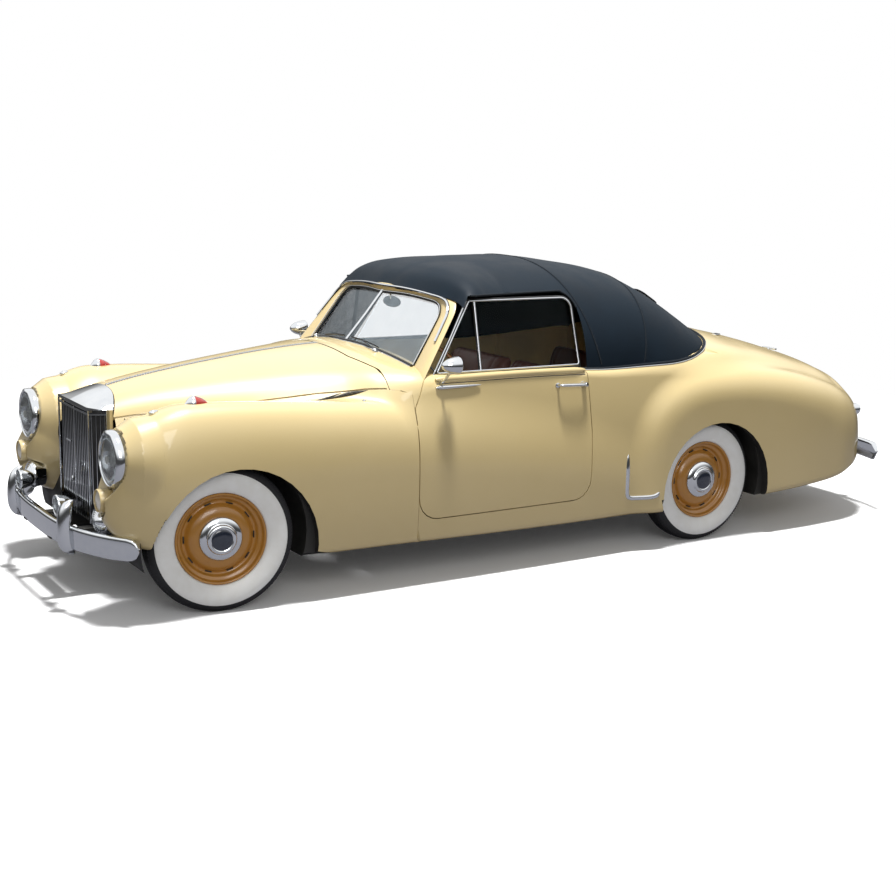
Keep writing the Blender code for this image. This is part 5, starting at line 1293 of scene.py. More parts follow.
rows = []
for t in np.linspace(0, 1, 15):
    rows.append([cover_point(float(a), float(t)) for a in np.linspace(-1, 1, 41)])
bm = skin_mesh(rows)
lip = bmesh.ops.extrude_edge_only(bm, edges=[e for e in bm.edges if e.is_boundary])
for v in [g for g in lip["geom"] if isinstance(g, bmesh.types.BMVert)]:
    v.co.z = 0.9005
bmesh.ops.holes_fill(bm, edges=[e for e in bm.edges if e.is_boundary])
finished(bm, "radiator_cover", smooth=28, stands_for=("radiator_cap",))
for side, sign in SIDES:
    strip = [(0.2425, -0.3755), (0.2655, -0.3665), (0.2655, -0.352), (0.2425, -0.352)]
    strip = [(sign * x, s) for x, s in strip]
    finished(prism(strip, 0.336, SHELL_HEAD, placed), "nose_strip_" + side, cream, "body",
             stands_for=("nose_panel",))

tell("radiator cover")

# %% [markdown]
# ## Lamps
# Each headlamp is a spun brass bezel over a silvered reflector, behind a pressed lens
# whose upright flutes spread the beam. Bezel, reflector and lens are separate turned
# shapes, so the glass has real depth behind it. The bezel has a small peak at its top.

# %% Headlamps
FORWARD = (0, -1, 0)


def on_side(sign, place):
    """A place given for the left side, as a point on either side."""
    return placed(sign * place[0], *place[1:])


def lamp_set(name, centre, rim, glass_finish, peak=0.0, shell_finish=chrome,
             stands_for=()):
    """Bezel, bowl and lens of one round lamp, its rim's radius given."""
    lens = rim * 0.855
    shell = [(rim * 0.70, -0.060), (rim * 0.90, -0.030), (rim * 0.97, -0.010),
             (rim * 0.998, 0.0), (rim, 0.008), (rim * 0.985, 0.018), (rim * 0.95, 0.027),
             (rim * 0.91, 0.032), (rim * 0.875, 0.032), (lens * 1.004, 0.029), (lens, 0.024),
             (lens * 0.99, 0.015), (rim * 0.66, -0.036)]
    bm = spin(shell, centre, FORWARD, 72, loop=True)
    for v in bm.verts:
        away = v.co - centre
        if away.z > rim * 0.85 and away.y < -0.012:
            v.co.y -= peak * ((away.z / rim - 0.85) / 0.15) ** 0.8
    finished(bm, name + "_bezel", shell_finish, "body", smooth=50, stands_for=stands_for)
    bowl = [(lens * 0.99, 0.016), (lens * 0.80, -0.012), (lens * 0.55, -0.030),
            (lens * 0.25, -0.040), (0.0, -0.042)]
    finished(spin(bowl, centre, FORWARD, 48), name + "_reflector", outward=False)
    bulge = rim * 0.20
    face = [(lens * r, 0.0235 + bulge * (1 - r * r)) for r in np.linspace(1, 0, 12)]
    back = [(lens * r, 0.0200 + bulge * 0.92 * (1 - r * r)) for r in np.linspace(0, 1, 12)]
    face[-1], back[0] = (0.0, face[-1][1]), (0.0, back[0][1])
    finished(spin(face + back, centre, FORWARD, 64), name + "_lens", glass_finish, "body",
             smooth=60)


for side, sign in SIDES:
    lamp_set("headlamp_" + side, on_side(sign, HEADLAMP), 0.1335, lens_glass, 0.012,
             stands_for=("headlamp_" + side,))
    bulb = [(0.0, 0.0), (0.012, 0.004), (0.016, 0.014), (0.012, 0.024), (0.0, 0.030)]
    finished(spin(bulb, on_side(sign, (HEADLAMP[0], -0.445, HEADLAMP[2])), FORWARD, 24),
             "headlamp_bulb_" + side, opal, "body")
    lamp_set("pass_lamp_" + side, on_side(sign, PASS_LAMP), 0.0560, opal, 0.0, cream,
             ("pass_lamp_" + side,))
tell("lamps")

# %% [markdown]
# ## Horns and spot lamps
# Below the pass lamps sits a pair of chromium horn grilles: a domed dish with rings of
# fine ribs. Small spot lamps stand inboard of the bumper's overriders.

# %% Horns
for side, sign in SIDES:
    centre = on_side(sign, HORN)
    ribs = [(0.0, 0.0450), (0.010, 0.0445)]
    for k in range(6):
        r = 0.014 + 0.0083 * k
        lift = 0.0430 - 0.026 * (r / 0.066) ** 2.2
        ribs += [(r, lift - 0.0035), (r + 0.002, lift), (r + 0.0055, lift),
                 (r + 0.0070, lift - 0.0035)]
    dish = ribs + [(0.0662, 0.0130), (0.0690, 0.0150), (0.0708, 0.0110), (0.0708, 0.0020),
                   (0.0670, -0.0050), (0.060, -0.050), (0.0, -0.0835)]
    finished(spin(dish, centre, FORWARD, 60), "horn_dish_" + side, smooth=40,
             stands_for=("horn_" + side,))
    finished(spin([(0.0, 0.0410), (0.016, 0.0415), (0.0185, 0.0450), (0.0160, 0.0475),
                   (0.0, 0.0462)], centre, FORWARD, 32), "horn_boss_" + side, dull_steel)
tell("horns")

# %% [markdown]
# ## Bumpers
# A bumper is one blade of heavy sprung steel, rolled to a C with a broad top that catches
# the sky, and bowed so that its ends wrap the wings. A section swept along the bow, with
# its last few steps drawn in, gives the rounded ends. Overriders are pressings bolted on.

# %% Blades
def blade(name, half, bow, wrap, ends_at, station, section, stands_for):
    """A bowed blade; its section shrinks into a rounded end."""
    across = list(np.linspace(-1, 1, 61))
    across = [math.copysign(1 - (1 - abs(a)) ** 1.25, a) for a in across]
    path, size = [], []
    for a in across:
        path.append(placed(a * half, station + bow * abs(a) ** wrap, 0.0))
        closing = max(0.0, (abs(a) - ends_at) / (1 - ends_at))
        size.append(max(0.06, math.sqrt(max(0.0, 1 - closing ** 2.4))))
    rows = []
    for i, here in enumerate(path):
        before, after = path[max(i - 1, 0)], path[min(i + 1, len(path) - 1)]
        along = (after - before).normalized()
        out = along.cross(Vector((0, 0, 1)))
        rows.append([here + out * (u * (0.4 + 0.6 * size[i]))
                     + Vector((0, 0, 0.358 + (v - 0.358) * size[i])) for u, v in section])
    return finished(solid(rows), name, smooth=45, stands_for=stands_for)


FRONT_SECTION = smooth_path(
    [(-0.030, 0.4045), (-0.012, 0.4100), (0.0010, 0.4095), (0.0065, 0.4030),
     (0.0082, 0.3900), (0.0080, 0.3620), (0.0050, 0.3300), (-0.0010, 0.3050),
     (-0.0100, 0.3010), (-0.0085, 0.3120), (-0.0030, 0.3350), (-0.0005, 0.3640),
     (-0.0010, 0.3900), (-0.0055, 0.4000), (-0.014, 0.4030)], 3, closed=True)
blade("front_blade", 0.812, 0.222, 3.2, 0.93, -0.652, FRONT_SECTION, ("front_bumper",))
REAR_SECTION = [(-u, v + 0.021) for u, v in FRONT_SECTION]
rows = []
for a in np.linspace(-1, 1, 53):
    size = math.sqrt(max(0.004, 1 - max(0.0, (abs(a) - 0.93) / 0.07) ** 2.4))
    s = 4.412 - 0.105 * abs(a) ** 3.2
    slope = math.atan2(0.105 * 3.2 * abs(a) ** 2.2, 0.75) * (1 if a > 0 else -1)
    out = Vector((math.sin(slope), math.cos(slope), 0))
    rows.append([placed(0.75 * a, s, 0) + out * (-u * (0.4 + 0.6 * size))
                 + Vector((0, 0, 0.385 + (v - 0.379) * size)) for u, v in REAR_SECTION])
finished(solid(rows), "rear_blade", smooth=45, stands_for=("rear_bumper",))
tell("blades")


# %% Overriders, stays and spot lamps
def overrider(name, x, s, low, high, forward):
    """A tall pressing, rounded in front and at both ends, that clasps the blade."""
    rows = []
    for t in np.linspace(0, 1, 25):
        lean = 2 * t - 1
        size = max(0.05, (1 - abs(lean) ** 3.4) ** 0.5)
        z = low + (high - low) * t
        deep = 0.052 * size * (1 - 0.10 * lean)
        wide = (0.029 - 0.004 * lean) * (0.35 + 0.65 * size)
        centre = s + forward * (0.012 * lean ** 2 - 0.010)
        ring = []
        for k in range(24):
            a = 2 * math.pi * k / 24
            c, v = math.cos(a), math.sin(a)
            reach = deep if v > 0 else 0.018
            ring.append(placed(x + wide * bent(c, 0.75),
                               centre - forward * reach * bent(v, 0.8), z))
        rows.append(ring)
    finished(solid(rows), name, smooth=60)


SPOT_LAMP = (0.312, -0.640, 0.482)
for side, sign in SIDES:
    overrider("front_overrider_" + side, sign * 0.415, -0.6150, 0.272, 0.528, 1)
    overrider("rear_overrider_" + side, sign * 0.365, 4.3780, 0.318, 0.515, -1)
    stay = [placed(sign * 0.20, -0.648, 0.318), placed(sign * 0.20, -0.605, 0.300)]
    finished(swept(stay, box_bar(0.024, 0.014)), "front_stay_" + side, chassis_black, "body")
    stay = [placed(sign * 0.275, 4.341, 0.408), placed(sign * 0.275, 4.404, 0.408)]
    finished(swept(stay, box_bar(0.024, 0.011)), "rear_stay_" + side)
    stalk = smooth_path([placed(sign * 0.400, -0.625, 0.470), placed(sign * 0.365, -0.615, 0.482),
                         placed(sign * 0.312, -0.612, 0.482)], 5)
    finished(swept(stalk, round_bar(0.0085, 12)), "spot_stalk_" + side)
    shell = [(0.0, -0.074), (0.014, -0.0715), (0.028, -0.062), (0.040, -0.044),
             (0.0475, -0.020), (0.0510, 0.0), (0.0515, 0.004), (0.0490, 0.0085),
             (0.0450, 0.0090), (0.0440, 0.0060), (0.036, -0.012), (0.018, -0.022),
             (0.0, -0.024)]
    finished(spin(shell, on_side(sign, SPOT_LAMP), FORWARD, 48), "spot_lamp_" + side, smooth=50)
    lens = [(0.0445, 0.0065), (0.034, 0.0105), (0.018, 0.0135), (0.0, 0.0145), (0.0, 0.0125),
            (0.018, 0.0115), (0.034, 0.0085), (0.0440, 0.0055)]
    finished(spin(lens, on_side(sign, SPOT_LAMP), FORWARD, 48, loop=False),
             "spot_lens_" + side, lens_glass, "body", smooth=60)
tell("overriders, stays and spot lamps")

# %% [markdown]
# ## Bonnet hinge, wing lamps and small brightwork
# The bonnet's halves hang on a piano hinge along the middle: a black rubber strip, a
# chromium rod, and a row of knuckles to each side, repeated along the hinge. Marker lamps
# shaped like drops sit on the wings, red behind a chromium hood.

# %% Bonnet hinge
def on_top(x, s, lift=0.0):
    """A point on the body's upper side."""
    return placed(x, s, skin_height(abs(x), s) + lift)


hinge_line = [on_top(0.0, float(s), 0.0) for s in np.linspace(-0.2955, 0.840, 40)]
strip = [(-0.0072, -0.022), (0.0072, -0.022), (0.0072, -0.0012), (0.004, 0.0004),
         (-0.004, 0.0004), (-0.0072, -0.0012)]
finished(swept(hinge_line, strip), "hinge_strip", seal, stands_for=("bonnet_hinge",))
finished(swept([p + Vector((0, 0, 0.0012)) for p in hinge_line], round_bar(0.0024, 10)),
         "hinge_rod")
for side, sign in SIDES:
    line = [on_top(sign * 0.019, float(s), 0.0006) for s in np.linspace(-0.285, 0.835, 60)]
    repeated("hinge_knuckles_" + side, line, lozenge(0.0065, 0.0030, 0.0085, 0.35), 84,
             dull_steel, "bonnet_" + side)


# %% Marker lamps on the wings
def wing_top(x, s):
    """Height of a front wing's crown."""
    return closing_on(0.80, 1.05, lambda z: wing_skin(x, s, z) < 0, 22)


def drop(name, s, x, length, wide, high, colour, sign):
    """A drop-shaped lamp on the wing's crown: chromium ahead, coloured glass behind."""
    def ring(t, swell, scale=1.0):
        at = s + length * (t - 0.35)
        z = wing_top(x, at)
        return [placed(sign * (x + wide * swell * scale * math.cos(a)), at,
                       z - 0.004 + (high + 0.004) * swell * scale * max(0.0, math.sin(a)))
                for a in np.linspace(0, math.pi, 17)]

    def swell(t):
        return max(0.02, (math.sin(math.pi * min(1.0, t / 0.36) / 2) if t < 0.36
                          else (1 - ((t - 0.36) / 0.64) ** 1.7)))
    hood = [ring(t, swell(t)) for t in np.linspace(0.0, 0.40, 12)]
    glass = [ring(t, swell(t), 0.93) for t in np.linspace(0.36, 1.0, 16)]
    for rows, label, finish in ((hood, "hood", chrome), (glass, "glass", colour)):
        bm = solid(rows)
        finished(bm, name + "_" + label, finish, "body",
                 smooth=50)
    spine = [p[8] + Vector((0, 0, 0.0012)) for p in glass[:-2]]
    finished(swept(spine, round_bar(0.0022, 8)), name + "_spine")


for side, sign in SIDES:
    drop("wing_lamp_" + side, -0.115, 0.672, 0.118, 0.030, 0.036, ruby, sign)
    nose_s, nose_x = -0.300, 0.662
    finished(spin([(0.0, -0.020), (0.010, -0.017), (0.0135, -0.008), (0.0145, 0.0),
                   (0.0125, 0.010), (0.006, 0.022), (0.0, 0.026)],
                  placed(sign * nose_x, nose_s, wing_top(nose_x, nose_s) + 0.006), (0, 1, 0.25),
                  24, squash=(1.0, 0.75)), "side_lamp_" + side, smooth=60)
    spot, away = spot_on_skin(sign * 0.64, 0.785, 0.90)
    finished(spin([(0.0, -0.004), (0.0085, -0.004), (0.0090, 0.0015), (0.0065, 0.0045),
                   (0.0, 0.0055)], spot, away, 20), "bonnet_catch_" + side, dull_steel,
             "bonnet_" + side)
tell("hinge and wing lamps")

# %% [markdown]
# ## Drain channel under the bonnet's edge
# Where the bonnet meets the wings a pressed channel catches the water. It follows the
# valley of the body's own rule a little below it, so the shut line has a floor.

# %% Drain channel
half = np.array([v.co for v in nodes["bonnet_left"].data.vertices])
stations = np.linspace(-0.345, 1.02, 92)
hem = [half[np.abs(half[:, 1] - FRONT_AXLE - s) < 0.09, 0] for s in stations]
hem = [abs(line).max() if len(line) else 0.0 for line in hem]
print("bonnet's hem from the centre:", round(hem[8], 3), "to", round(max(hem), 3), "m")
for side, sign in SIDES:
    rows = []
    for s, low in zip(stations, hem):
        low = max(low, 0.345)
        beside = np.linspace(max(0.262, low - 0.085), min(low + 0.085, 0.70), 15)
        rows.append([placed(sign * x, s, z - 0.0085)
                     for x, z in zip(beside, skin_height(beside, s))])
    bm = skin_mesh(rows)
    finished(bm, "bonnet_channel_" + side, cream, "body", smooth=60)

# %% [markdown]
# ## Windscreen
# Two flat panes meet in a shallow V under one painted frame. The frame is a tapered
# pressing whose section changes all the way round, so its four long edges are drawn as
# smooth curves and a rounded section is stretched between them. Rubber seals the glass.

# %% Frame of the windscreen
SCREEN_EDGES = (
    ((0.575, 1.085, 1.060), (0.535, 1.295, 1.365), (0.0, 1.232, 1.390)),
    ((0.700, 1.060, 1.045), (0.600, 1.305, 1.385), (0.0, 1.225, 1.425)),
    ((0.735, 1.075, 1.035), (0.625, 1.345, 1.400), (0.0, 1.290, 1.450)),
    ((0.660, 1.100, 1.050), (0.570, 1.330, 1.385), (0.0, 1.280, 1.400)))


def screen_edge(number, steps=7):
    """One long edge of the frame as points from the left base to the right base."""
    base, corner, middle = (Vector(p) for p in SCREEN_EDGES[number])
    half = [base.lerp(corner, t) for t in (-0.12, 0.30, 0.62, 0.86)]
    half += [corner.lerp(middle, t) + Vector((0, 0, 0.012 * math.sin(math.pi * t)))
             for t in (0.10, 0.32, 0.64)]
    half[3] += (middle - corner) * 0.012
    half[4] -= (corner - base) * 0.012
    line = half + [middle] + [Vector((-p.x, p.y, p.z)) for p in half[::-1]]
    return [Vector(p) for p in smooth_path(line, steps)]


edges = [screen_edge(n) for n in range(4)]
rows = []
for a, b, c, d in zip(*edges):
    ring = []
    for k in range(28):
        turn = 2 * math.pi * k / 28
        u = 0.5 + 0.5 * bent(math.cos(turn), 0.42)
        v = 0.5 + 0.5 * bent(math.sin(turn), 0.42)
        p = (a.lerp(b, u)).lerp(d.lerp(c, u), v)
        ring.append(placed(*p))
    rows.append(ring)
finished(solid(rows), "screen_frame", cream, smooth=60, stands_for=("windscreen_surround",))
inner = [placed(*p) for p in edges[0]]
screen_out = (0, -0.82, 0.57)
finished(swept(inner, flat_bar(0.0075, 0.0050), up=screen_out), "screen_seal_upper", seal)
lead = [placed(p.x * 1.012, p.y - 0.006, p.z + 0.006) for p in edges[0]]
finished(swept(lead, round_bar(0.0028, 10), up=screen_out), "screen_bead_upper")
foot, foot_bead = [], []
for x in np.linspace(-0.60, 0.60, 61):
    s = 1.010 + 0.070 * abs(x) / 0.64 - 0.006
    foot.append(on_top(float(x), s, 0.0045))
    foot_bead.append(on_top(float(x), s - 0.011, 0.0015))
finished(swept(foot, round_bar(0.0085, 12)), "screen_seal_lower", seal)
finished(swept(foot_bead, round_bar(0.0026, 10)), "screen_bead_lower")
pillar = [placed(0, 1.006, 1.133), placed(0, 1.125, 1.268), placed(0, 1.232, 1.398)]
wide = [(0.0085, -0.005), (0.0085, 0.001), (0.004, 0.0055), (-0.004, 0.0055),
        (-0.0085, 0.001), (-0.0085, -0.005)]
finished(swept(pillar, wide, up=(0, -0.8, 0.6)), "screen_centre_bar")
header = [placed(p.x, p.y - 0.003, p.z + 0.003) for p in edges[1]][10:-10]
half_oval = [(-0.0065, -0.002), (0.0065, -0.002), (0.0060, 0.002), (0.003, 0.0048),
             (-0.003, 0.0048), (-0.0060, 0.002)]
finished(swept(header, half_oval, up=(0, -0.75, 0.66)), "header_moulding")
line = [placed(p.x, p.y + 0.004, p.z + 0.0045) for p in edges[1]][12:-12]
finished(swept(line, round_bar(0.0042, 10)), "header_rubber", seal)
tell("windscreen")

# %% Wipers and the mirror inside
for side, sign in SIDES:
    foot_at = on_top(sign * 0.335, 1.006, 0.004)
    finished(spin([(0, -0.006), (0.014, -0.006), (0.0145, 0.004), (0.011, 0.013),
                   (0.0065, 0.016), (0, 0.017)], foot_at, (0, -0.35, 0.94), 24), "wiper_boss_"
             + side)
    rest = [foot_at + Vector((0, -0.002, 0.012)),
            placed(sign * 0.27, 1.012, 1.140), placed(sign * 0.175, 1.018, 1.158)]
    finished(swept(smooth_path(rest, 6), box_bar(0.004, 0.0018, 0.003)), "wiper_arm_" + side)
    blade_path = [placed(sign * x, 1.012 + 0.070 * x / 0.64 + 0.45 * (z - 1.133) - 0.004, z)
                  for x, z in ((0.045, 1.160), (0.175, 1.152), (0.300, 1.136))]
    finished(swept(smooth_path(blade_path, 6), [(-0.0025, -0.008), (0.0025, -0.008),
                                                (0.0035, 0.004), (-0.0035, 0.004)],
                   up=(0, -0.85, 0.5)), "wiper_blade_" + side, seal)
stalk = [placed(0, 1.275, 1.398), placed(0, 1.285, 1.350)]
finished(swept(stalk, round_bar(0.005, 10), up=(0, 1, 0)), "mirror_stalk")
finished(spin([(0, -0.010), (0.028, -0.010), (0.0345, -0.004), (0.035, 0.003), (0.032, 0.006),
               (0, 0.006)], placed(0, 1.290, 1.335), (0, 1, -0.15), 40, squash=(2.6, 0.85)),
         "inside_mirror", bakelite)
tell("wipers and inside mirror")

# %% [markdown]
# ## Doors: frames, rail, handles, mirrors
# A rolled rail runs along the top of the door below the glass, and a polished spear
# tapers back from the door's front. The pull handle is a casting with a barrel lock.

# %% A CAD node with softened edges
def softened(name, new_name, finish, body, bevel=0.0015):
    """A copy of a CAD node whose hard edges are rounded, and that stands for it."""
    bm = bmesh.new()
    bm.from_mesh(nodes[name].data)
    bmesh.ops.remove_doubles(bm, verts=bm.verts, dist=1e-5)
    bmesh.ops.dissolve_limit(bm, angle_limit=math.radians(1.0), verts=bm.verts,
                             edges=bm.edges)
    item = finished(bm, new_name, finish, body, smooth=40, stands_for=(name,))
    step = item.modifiers.new("rolled edges", "BEVEL")
    step.width, step.segments, step.limit_method = bevel, 2, "ANGLE"
    step.angle_limit = math.radians(35)
    bpy.context.view_layer.update()
    mesh = bpy.data.meshes.new_from_object(
        item.evaluated_get(bpy.context.evaluated_depsgraph_get()))
    item.modifiers.clear()
    item.data = mesh
    smoothed(mesh, 40)
    return item


def out_at(s, z, sign=1, lift=0.0):
    """A point of the body's side at a station and a height."""
    x = closing_on(0.30, 1.0, lambda x: skin(x, s, z) < 0)
    return placed(sign * (x + lift), s, z)


def tilted(side):
    """The plane of the side windows: station and height, w outwards."""
    return lambda u, v, w: placed(side * (0.700 - 0.236 * (v - 1.03) + w), u, v)


WINDOW_LINE = rounded([(1.156, 1.046), (2.030, 1.046), (2.010, 1.391), (1.384, 1.391)],
                      [0.006, 0.012, 0.060, 0.008])
window_bar = flat_bar(0.0050, 0.0034)
for side, sign in SIDES:
    door = "door_" + side
    softened("window_frame_" + side, "window_channel_" + side, seal, door)
    glass_line = [tilted(sign)(u, v, 0.0075) for u, v in WINDOW_LINE]
    plane_out = (sign * 0.973, 0, 0.230)
    finished(swept(glass_line, window_bar, up=plane_out, closed=True), "window_moulding_"
             + side, chrome, door, smooth=50)
    pillar = [tilted(sign)(1.416, v, 0.006) for v in np.linspace(1.046, 1.392, 6)]
    finished(swept(pillar, window_bar, up=plane_out), "quarter_light_bar_" + side, chrome, door,
             smooth=50)
    front_edge = [tilted(sign)(u, v, 0.0078) for u, v in
                  ((1.128, 1.032), (1.250, 1.210), (1.366, 1.390))]
    finished(swept(front_edge, window_bar, up=plane_out), "window_front_bead_" + side, chrome,
             door, smooth=50)
    rail = [placed(sign * (abs(out_at(float(s), 0.975).x) - 0.016), float(s),
                   1.0215 + 0.006 * math.sin(math.pi * (s - 1.115) / 0.925))
            for s in np.linspace(1.122, 2.034, 40)]
    ends = [0.35 + 0.65 * min(1.0, 14 * t, 14 * (1 - t)) ** 0.5 for t in np.linspace(0, 1, 40)]
    finished(swept(rail, round_bar(0.0175, 20), scale=ends), "belt_rail_" + side, cream, door,
             smooth=60)
    # a thin black line of seal rubber under the rail is a painted shadow: the shade the rail
    # casts on the door
    under = [out_at(float(s), 1.0005 + 0.006 * math.sin(math.pi * (s - 1.115) / 0.925), sign,
                    lift=-0.0005) for s in np.linspace(1.125, 2.030, 30)]
    finished(swept(under, round_bar(0.0022, 8)), "belt_shadow_line_" + side, seal, door)
    spear = [out_at(float(s), 0.985 + 0.010 * (s - 1.12), sign, lift=0.006)
             for s in np.linspace(1.116, 1.372, 24)]
    taper = [min(1.0, 0.30 + 6 * t) * (1 - t) ** 0.55 + 0.10 for t in np.linspace(0, 1, 24)]
    finished(swept(spear, round_bar(0.0125, 16, 0.9), scale=taper), "door_spear_" + side,
             chrome, door, smooth=60)
    # pull handle
    grip = smooth_path([(sign * 0.772, 1.846, 0.957), (sign * 0.796, 1.852, 0.957),
                        (sign * 0.8035, 1.875, 0.957), (sign * 0.8050, 1.930, 0.955),
                        (sign * 0.8035, 1.985, 0.953), (sign * 0.797, 2.006, 0.952),
                        (sign * 0.775, 2.013, 0.952)], 8)
    grip = [placed(*p) for p in grip]
    full = [0.75 + 0.5 * math.sin(math.pi * i / (len(grip) - 1)) for i in range(len(grip))]
    finished(swept(grip, round_bar(0.0080, 16, 0.9), scale=full), "pull_handle_" + side, chrome,
             door, smooth=60, stands_for=("door_handle_" + side,))
    finished(spin([(0, 0.0), (0.0145, 0.0), (0.0150, 0.003), (0.0125, 0.020), (0.0120, 0.030),
                   (0.0100, 0.033), (0, 0.034)], placed(sign * 0.7725, 2.013, 0.952),
                  (sign, 0, 0), 32), "handle_barrel_" + side, chrome, door)
    for s in (1.848, 2.012):
        finished(spin([(0, 0.0), (0.0155, 0.0), (0.0150, 0.004), (0.0095, 0.006), (0, 0.006)],
                      out_at(s, 0.9545, sign, lift=-0.0015), (sign, 0, 0), 32,
                      squash=(1.0, 0.85)), "handle_plate_%s_%d" % (side, s * 1000), chrome,
                 door)
    # mirror
    centre = placed(sign * 0.852, 1.154, 1.105)
    shell = smooth_path([(0.0005, -0.0615), (0.012, -0.0570), (0.0235, -0.0440),
                         (0.0335, -0.0250), (0.0400, 0.0), (0.0440, 0.0220),
                         (0.0447, 0.0310), (0.0425, 0.0350)], 4)
    shell = [(0.0, -0.062)] + [tuple(p) for p in shell] + \
        [(0.0400, 0.0345), (0.0392, 0.0300), (0.0, 0.0295)]
    finished(spin(shell, centre, (0, 1, 0), 56), "mirror_shell_" + side, chrome, door,
             smooth=60, stands_for=("mirror_" + side,))
    finished(spin([(0.0, 0.0298), (0.0388, 0.0302), (0.0380, 0.0318), (0.0, 0.0322)], centre,
                  (0, 1, 0), 48), "mirror_glass_" + side, chrome, door)
    arm = smooth_path([tuple(placed(sign * 0.742, 1.150, 1.004)),
                       tuple(placed(sign * 0.775, 1.150, 1.018)),
                       tuple(placed(sign * 0.822, 1.151, 1.056)),
                       tuple(placed(sign * 0.846, 1.152, 1.078))], 5)
    finished(swept(arm, round_bar(0.0068, 14), up=(0, 1, 0),
                   scale=[1.35 - 0.35 * min(1, i / 6) for i in range(len(arm))]), "mirror_arm_"
             + side, chrome, door, smooth=60)
    # stone guard before the rear wheel
    guard = smooth_path([(2.316, 0.551), (2.3145, 0.47), (2.3145, 0.37), (2.3200, 0.325),
                         (2.342, 0.3095), (2.38, 0.3065), (2.45, 0.3070), (2.490, 0.3130),
                         (2.514, 0.330)], 6)
    guard = [out_at(s, z, sign, lift=-0.0015) for s, z in guard]
    closing = [0.25 + 0.75 * min(1.0, 9 * t, 9 * (1 - t)) ** 0.5
               for t in np.linspace(0, 1, len(guard))]
    outward = [tuple(Vector(steepest(skin, np.array([p]))[0]).normalized()) for p in guard]
    finished(swept(guard, [(0.0130, -0.001), (0.0125, 0.0030), (0.0085, 0.0068),
                           (0.003, 0.0080), (-0.003, 0.0080), (-0.0085, 0.0068),
                           (-0.0125, 0.0030), (-0.0130, -0.001)], up=outward, scale=closing),
             "stone_guard_bar_" + side, smooth=60, stands_for=("stone_guard_" + side,))
tell("doors and stone guards")

# %% [markdown]
# ## Seats
# Each seat is a sprung frame under pleated hide. The pleats are sewn flutes about 50 mm
# wide, stuffed, so each crowns between its seams, and a plain roll of hide runs round
# the edge. A cloth simulation would lose the seams, so the crowned form is drawn by rule:
# a rounded section that swells in the middle, with the flutes pressed into its front.

# %% Pleated pads
def pad(name, start, end, face, width, deep, centre_x, flutes, stands_for=()):
    """A crowned pad from start to end (station, height); face points out of its front."""
    start, end, face = (Vector((0, *p)) for p in (start, end, face))
    face = face.normalized()
    along = end - start
    rows = []
    steps = 34
    for i in range(steps + 1):
        t = i / steps
        lean = 2 * t - 1
        close = max(0.0, 1 - abs(lean) ** 6.0) ** 0.45
        crown = 1 + 0.16 * (1 - lean ** 2)
        ring = []
        for k in range(120):
            turn = 2 * math.pi * k / 120
            c, v = math.cos(turn), math.sin(turn)
            x = width * bent(c, 0.30) * (0.90 + 0.10 * close)
            lift = deep * (abs(v) ** 0.5) * (crown if v > 0 else 0.62) * close
            if v > 0 and abs(x) < width * 0.86:
                phase = (x / (width * 0.86) + 1) / 2 * flutes
                groove = abs(math.sin(math.pi * phase)) ** 0.6
                edge = min(1.0, 7 * (1 - abs(lean)))
                lift -= 0.010 * (1 - groove) * edge
            centre = start + along * (0.02 + 0.96 * t)
            p = centre + face * math.copysign(lift, v)
            ring.append(placed(centre_x + x, p.y, p.z))
        rows.append(ring)
    item = finished(solid(rows), name, hide, "body",
                    smooth=70, stands_for=stands_for)
    return item


for side, sign in SIDES:
    pad("front_squab_" + side, (1.955, 0.620), (2.100, 0.990), (-0.93, 0.36), 0.285, 0.055,
        sign * 0.315, 9, ("front_seat",) if sign > 0 else ())
    pad("front_cushion_" + side, (1.520, 0.520), (1.985, 0.500), (0.04, 1.0), 0.288, 0.085,
        sign * 0.315, 9)
    finished(block_between(placed(sign * 0.045, 1.54, 0.362), placed(sign * 0.590, 2.02, 0.470),
                           0.012), "front_seat_base_" + side, carpet, "body")
    pad("rear_squab_" + side, (2.700, 0.600), (2.765, 0.975), (-0.97, 0.20), 0.250, 0.050,
        sign * 0.262, 8, ("rear_seat",) if sign > 0 else ())
    pad("rear_cushion_" + side, (2.290, 0.520), (2.700, 0.500), (0.05, 1.0), 0.252, 0.070,
        sign * 0.262, 8)
finished(block_between(placed(-0.50, 2.30, 0.362), placed(0.50, 2.41, 0.500), 0.010),
         "rear_seat_base", carpet, "body")
tell("seats")

# %% [markdown]
# ## Dashboard and steering wheel
# The dash is a veneered board with round instruments, left without numbers. The wheel is
# a celluloid rim moulded on a steel hoop, with three spokes, so its rim is a turned ring
# and its spokes taper into it. It turns on its own body.

# %% Dash
dash = block_between(placed(-0.598, 1.131, 0.842), placed(0.598, 1.196, 1.0285), 0.012, 4)
finished(dash, "dash_board", walnut, "body", stands_for=("dashboard",))
for x in (-0.42, -0.16, 0.0, 0.16):
    face = placed(x, 1.1955, 0.945)
    ring = [(0.0, 0.0), (0.046, 0.0), (0.050, 0.003), (0.050, 0.008), (0.047, 0.011),
            (0.043, 0.010), (0.041, 0.004), (0.0, 0.003)]
    label = "dial_%d" % (round(x * 100) + 50)
    finished(spin(ring, face, (0, 1, 0), 40), label + "_ring")
    finished(spin([(0, 0.0032), (0.0405, 0.0042), (0.0400, 0.0052), (0, 0.0052)], face,
                  (0, 1, 0), 36), label + "_face", bakelite, "body")
    needle = [face + Vector((0, 0.0065, 0)), face + Vector((0.020, 0.0065, 0.022))]
    finished(swept(needle, box_bar(0.0012, 0.0005), up=(0, 1, 0)), label + "_needle", whitewall,
             "body")
    marks = [face + Vector((0.033 * math.cos(a), 0.0056, 0.033 * math.sin(a)))
             for a in np.linspace(-0.6, math.pi + 0.6, 30)]
    repeated(label + "_marks", marks, lozenge(0.0012, 0.0015, 0.0008, 0.2), 13, whitewall,
             "body")
hub = placed(0.36, 1.43, 0.945)
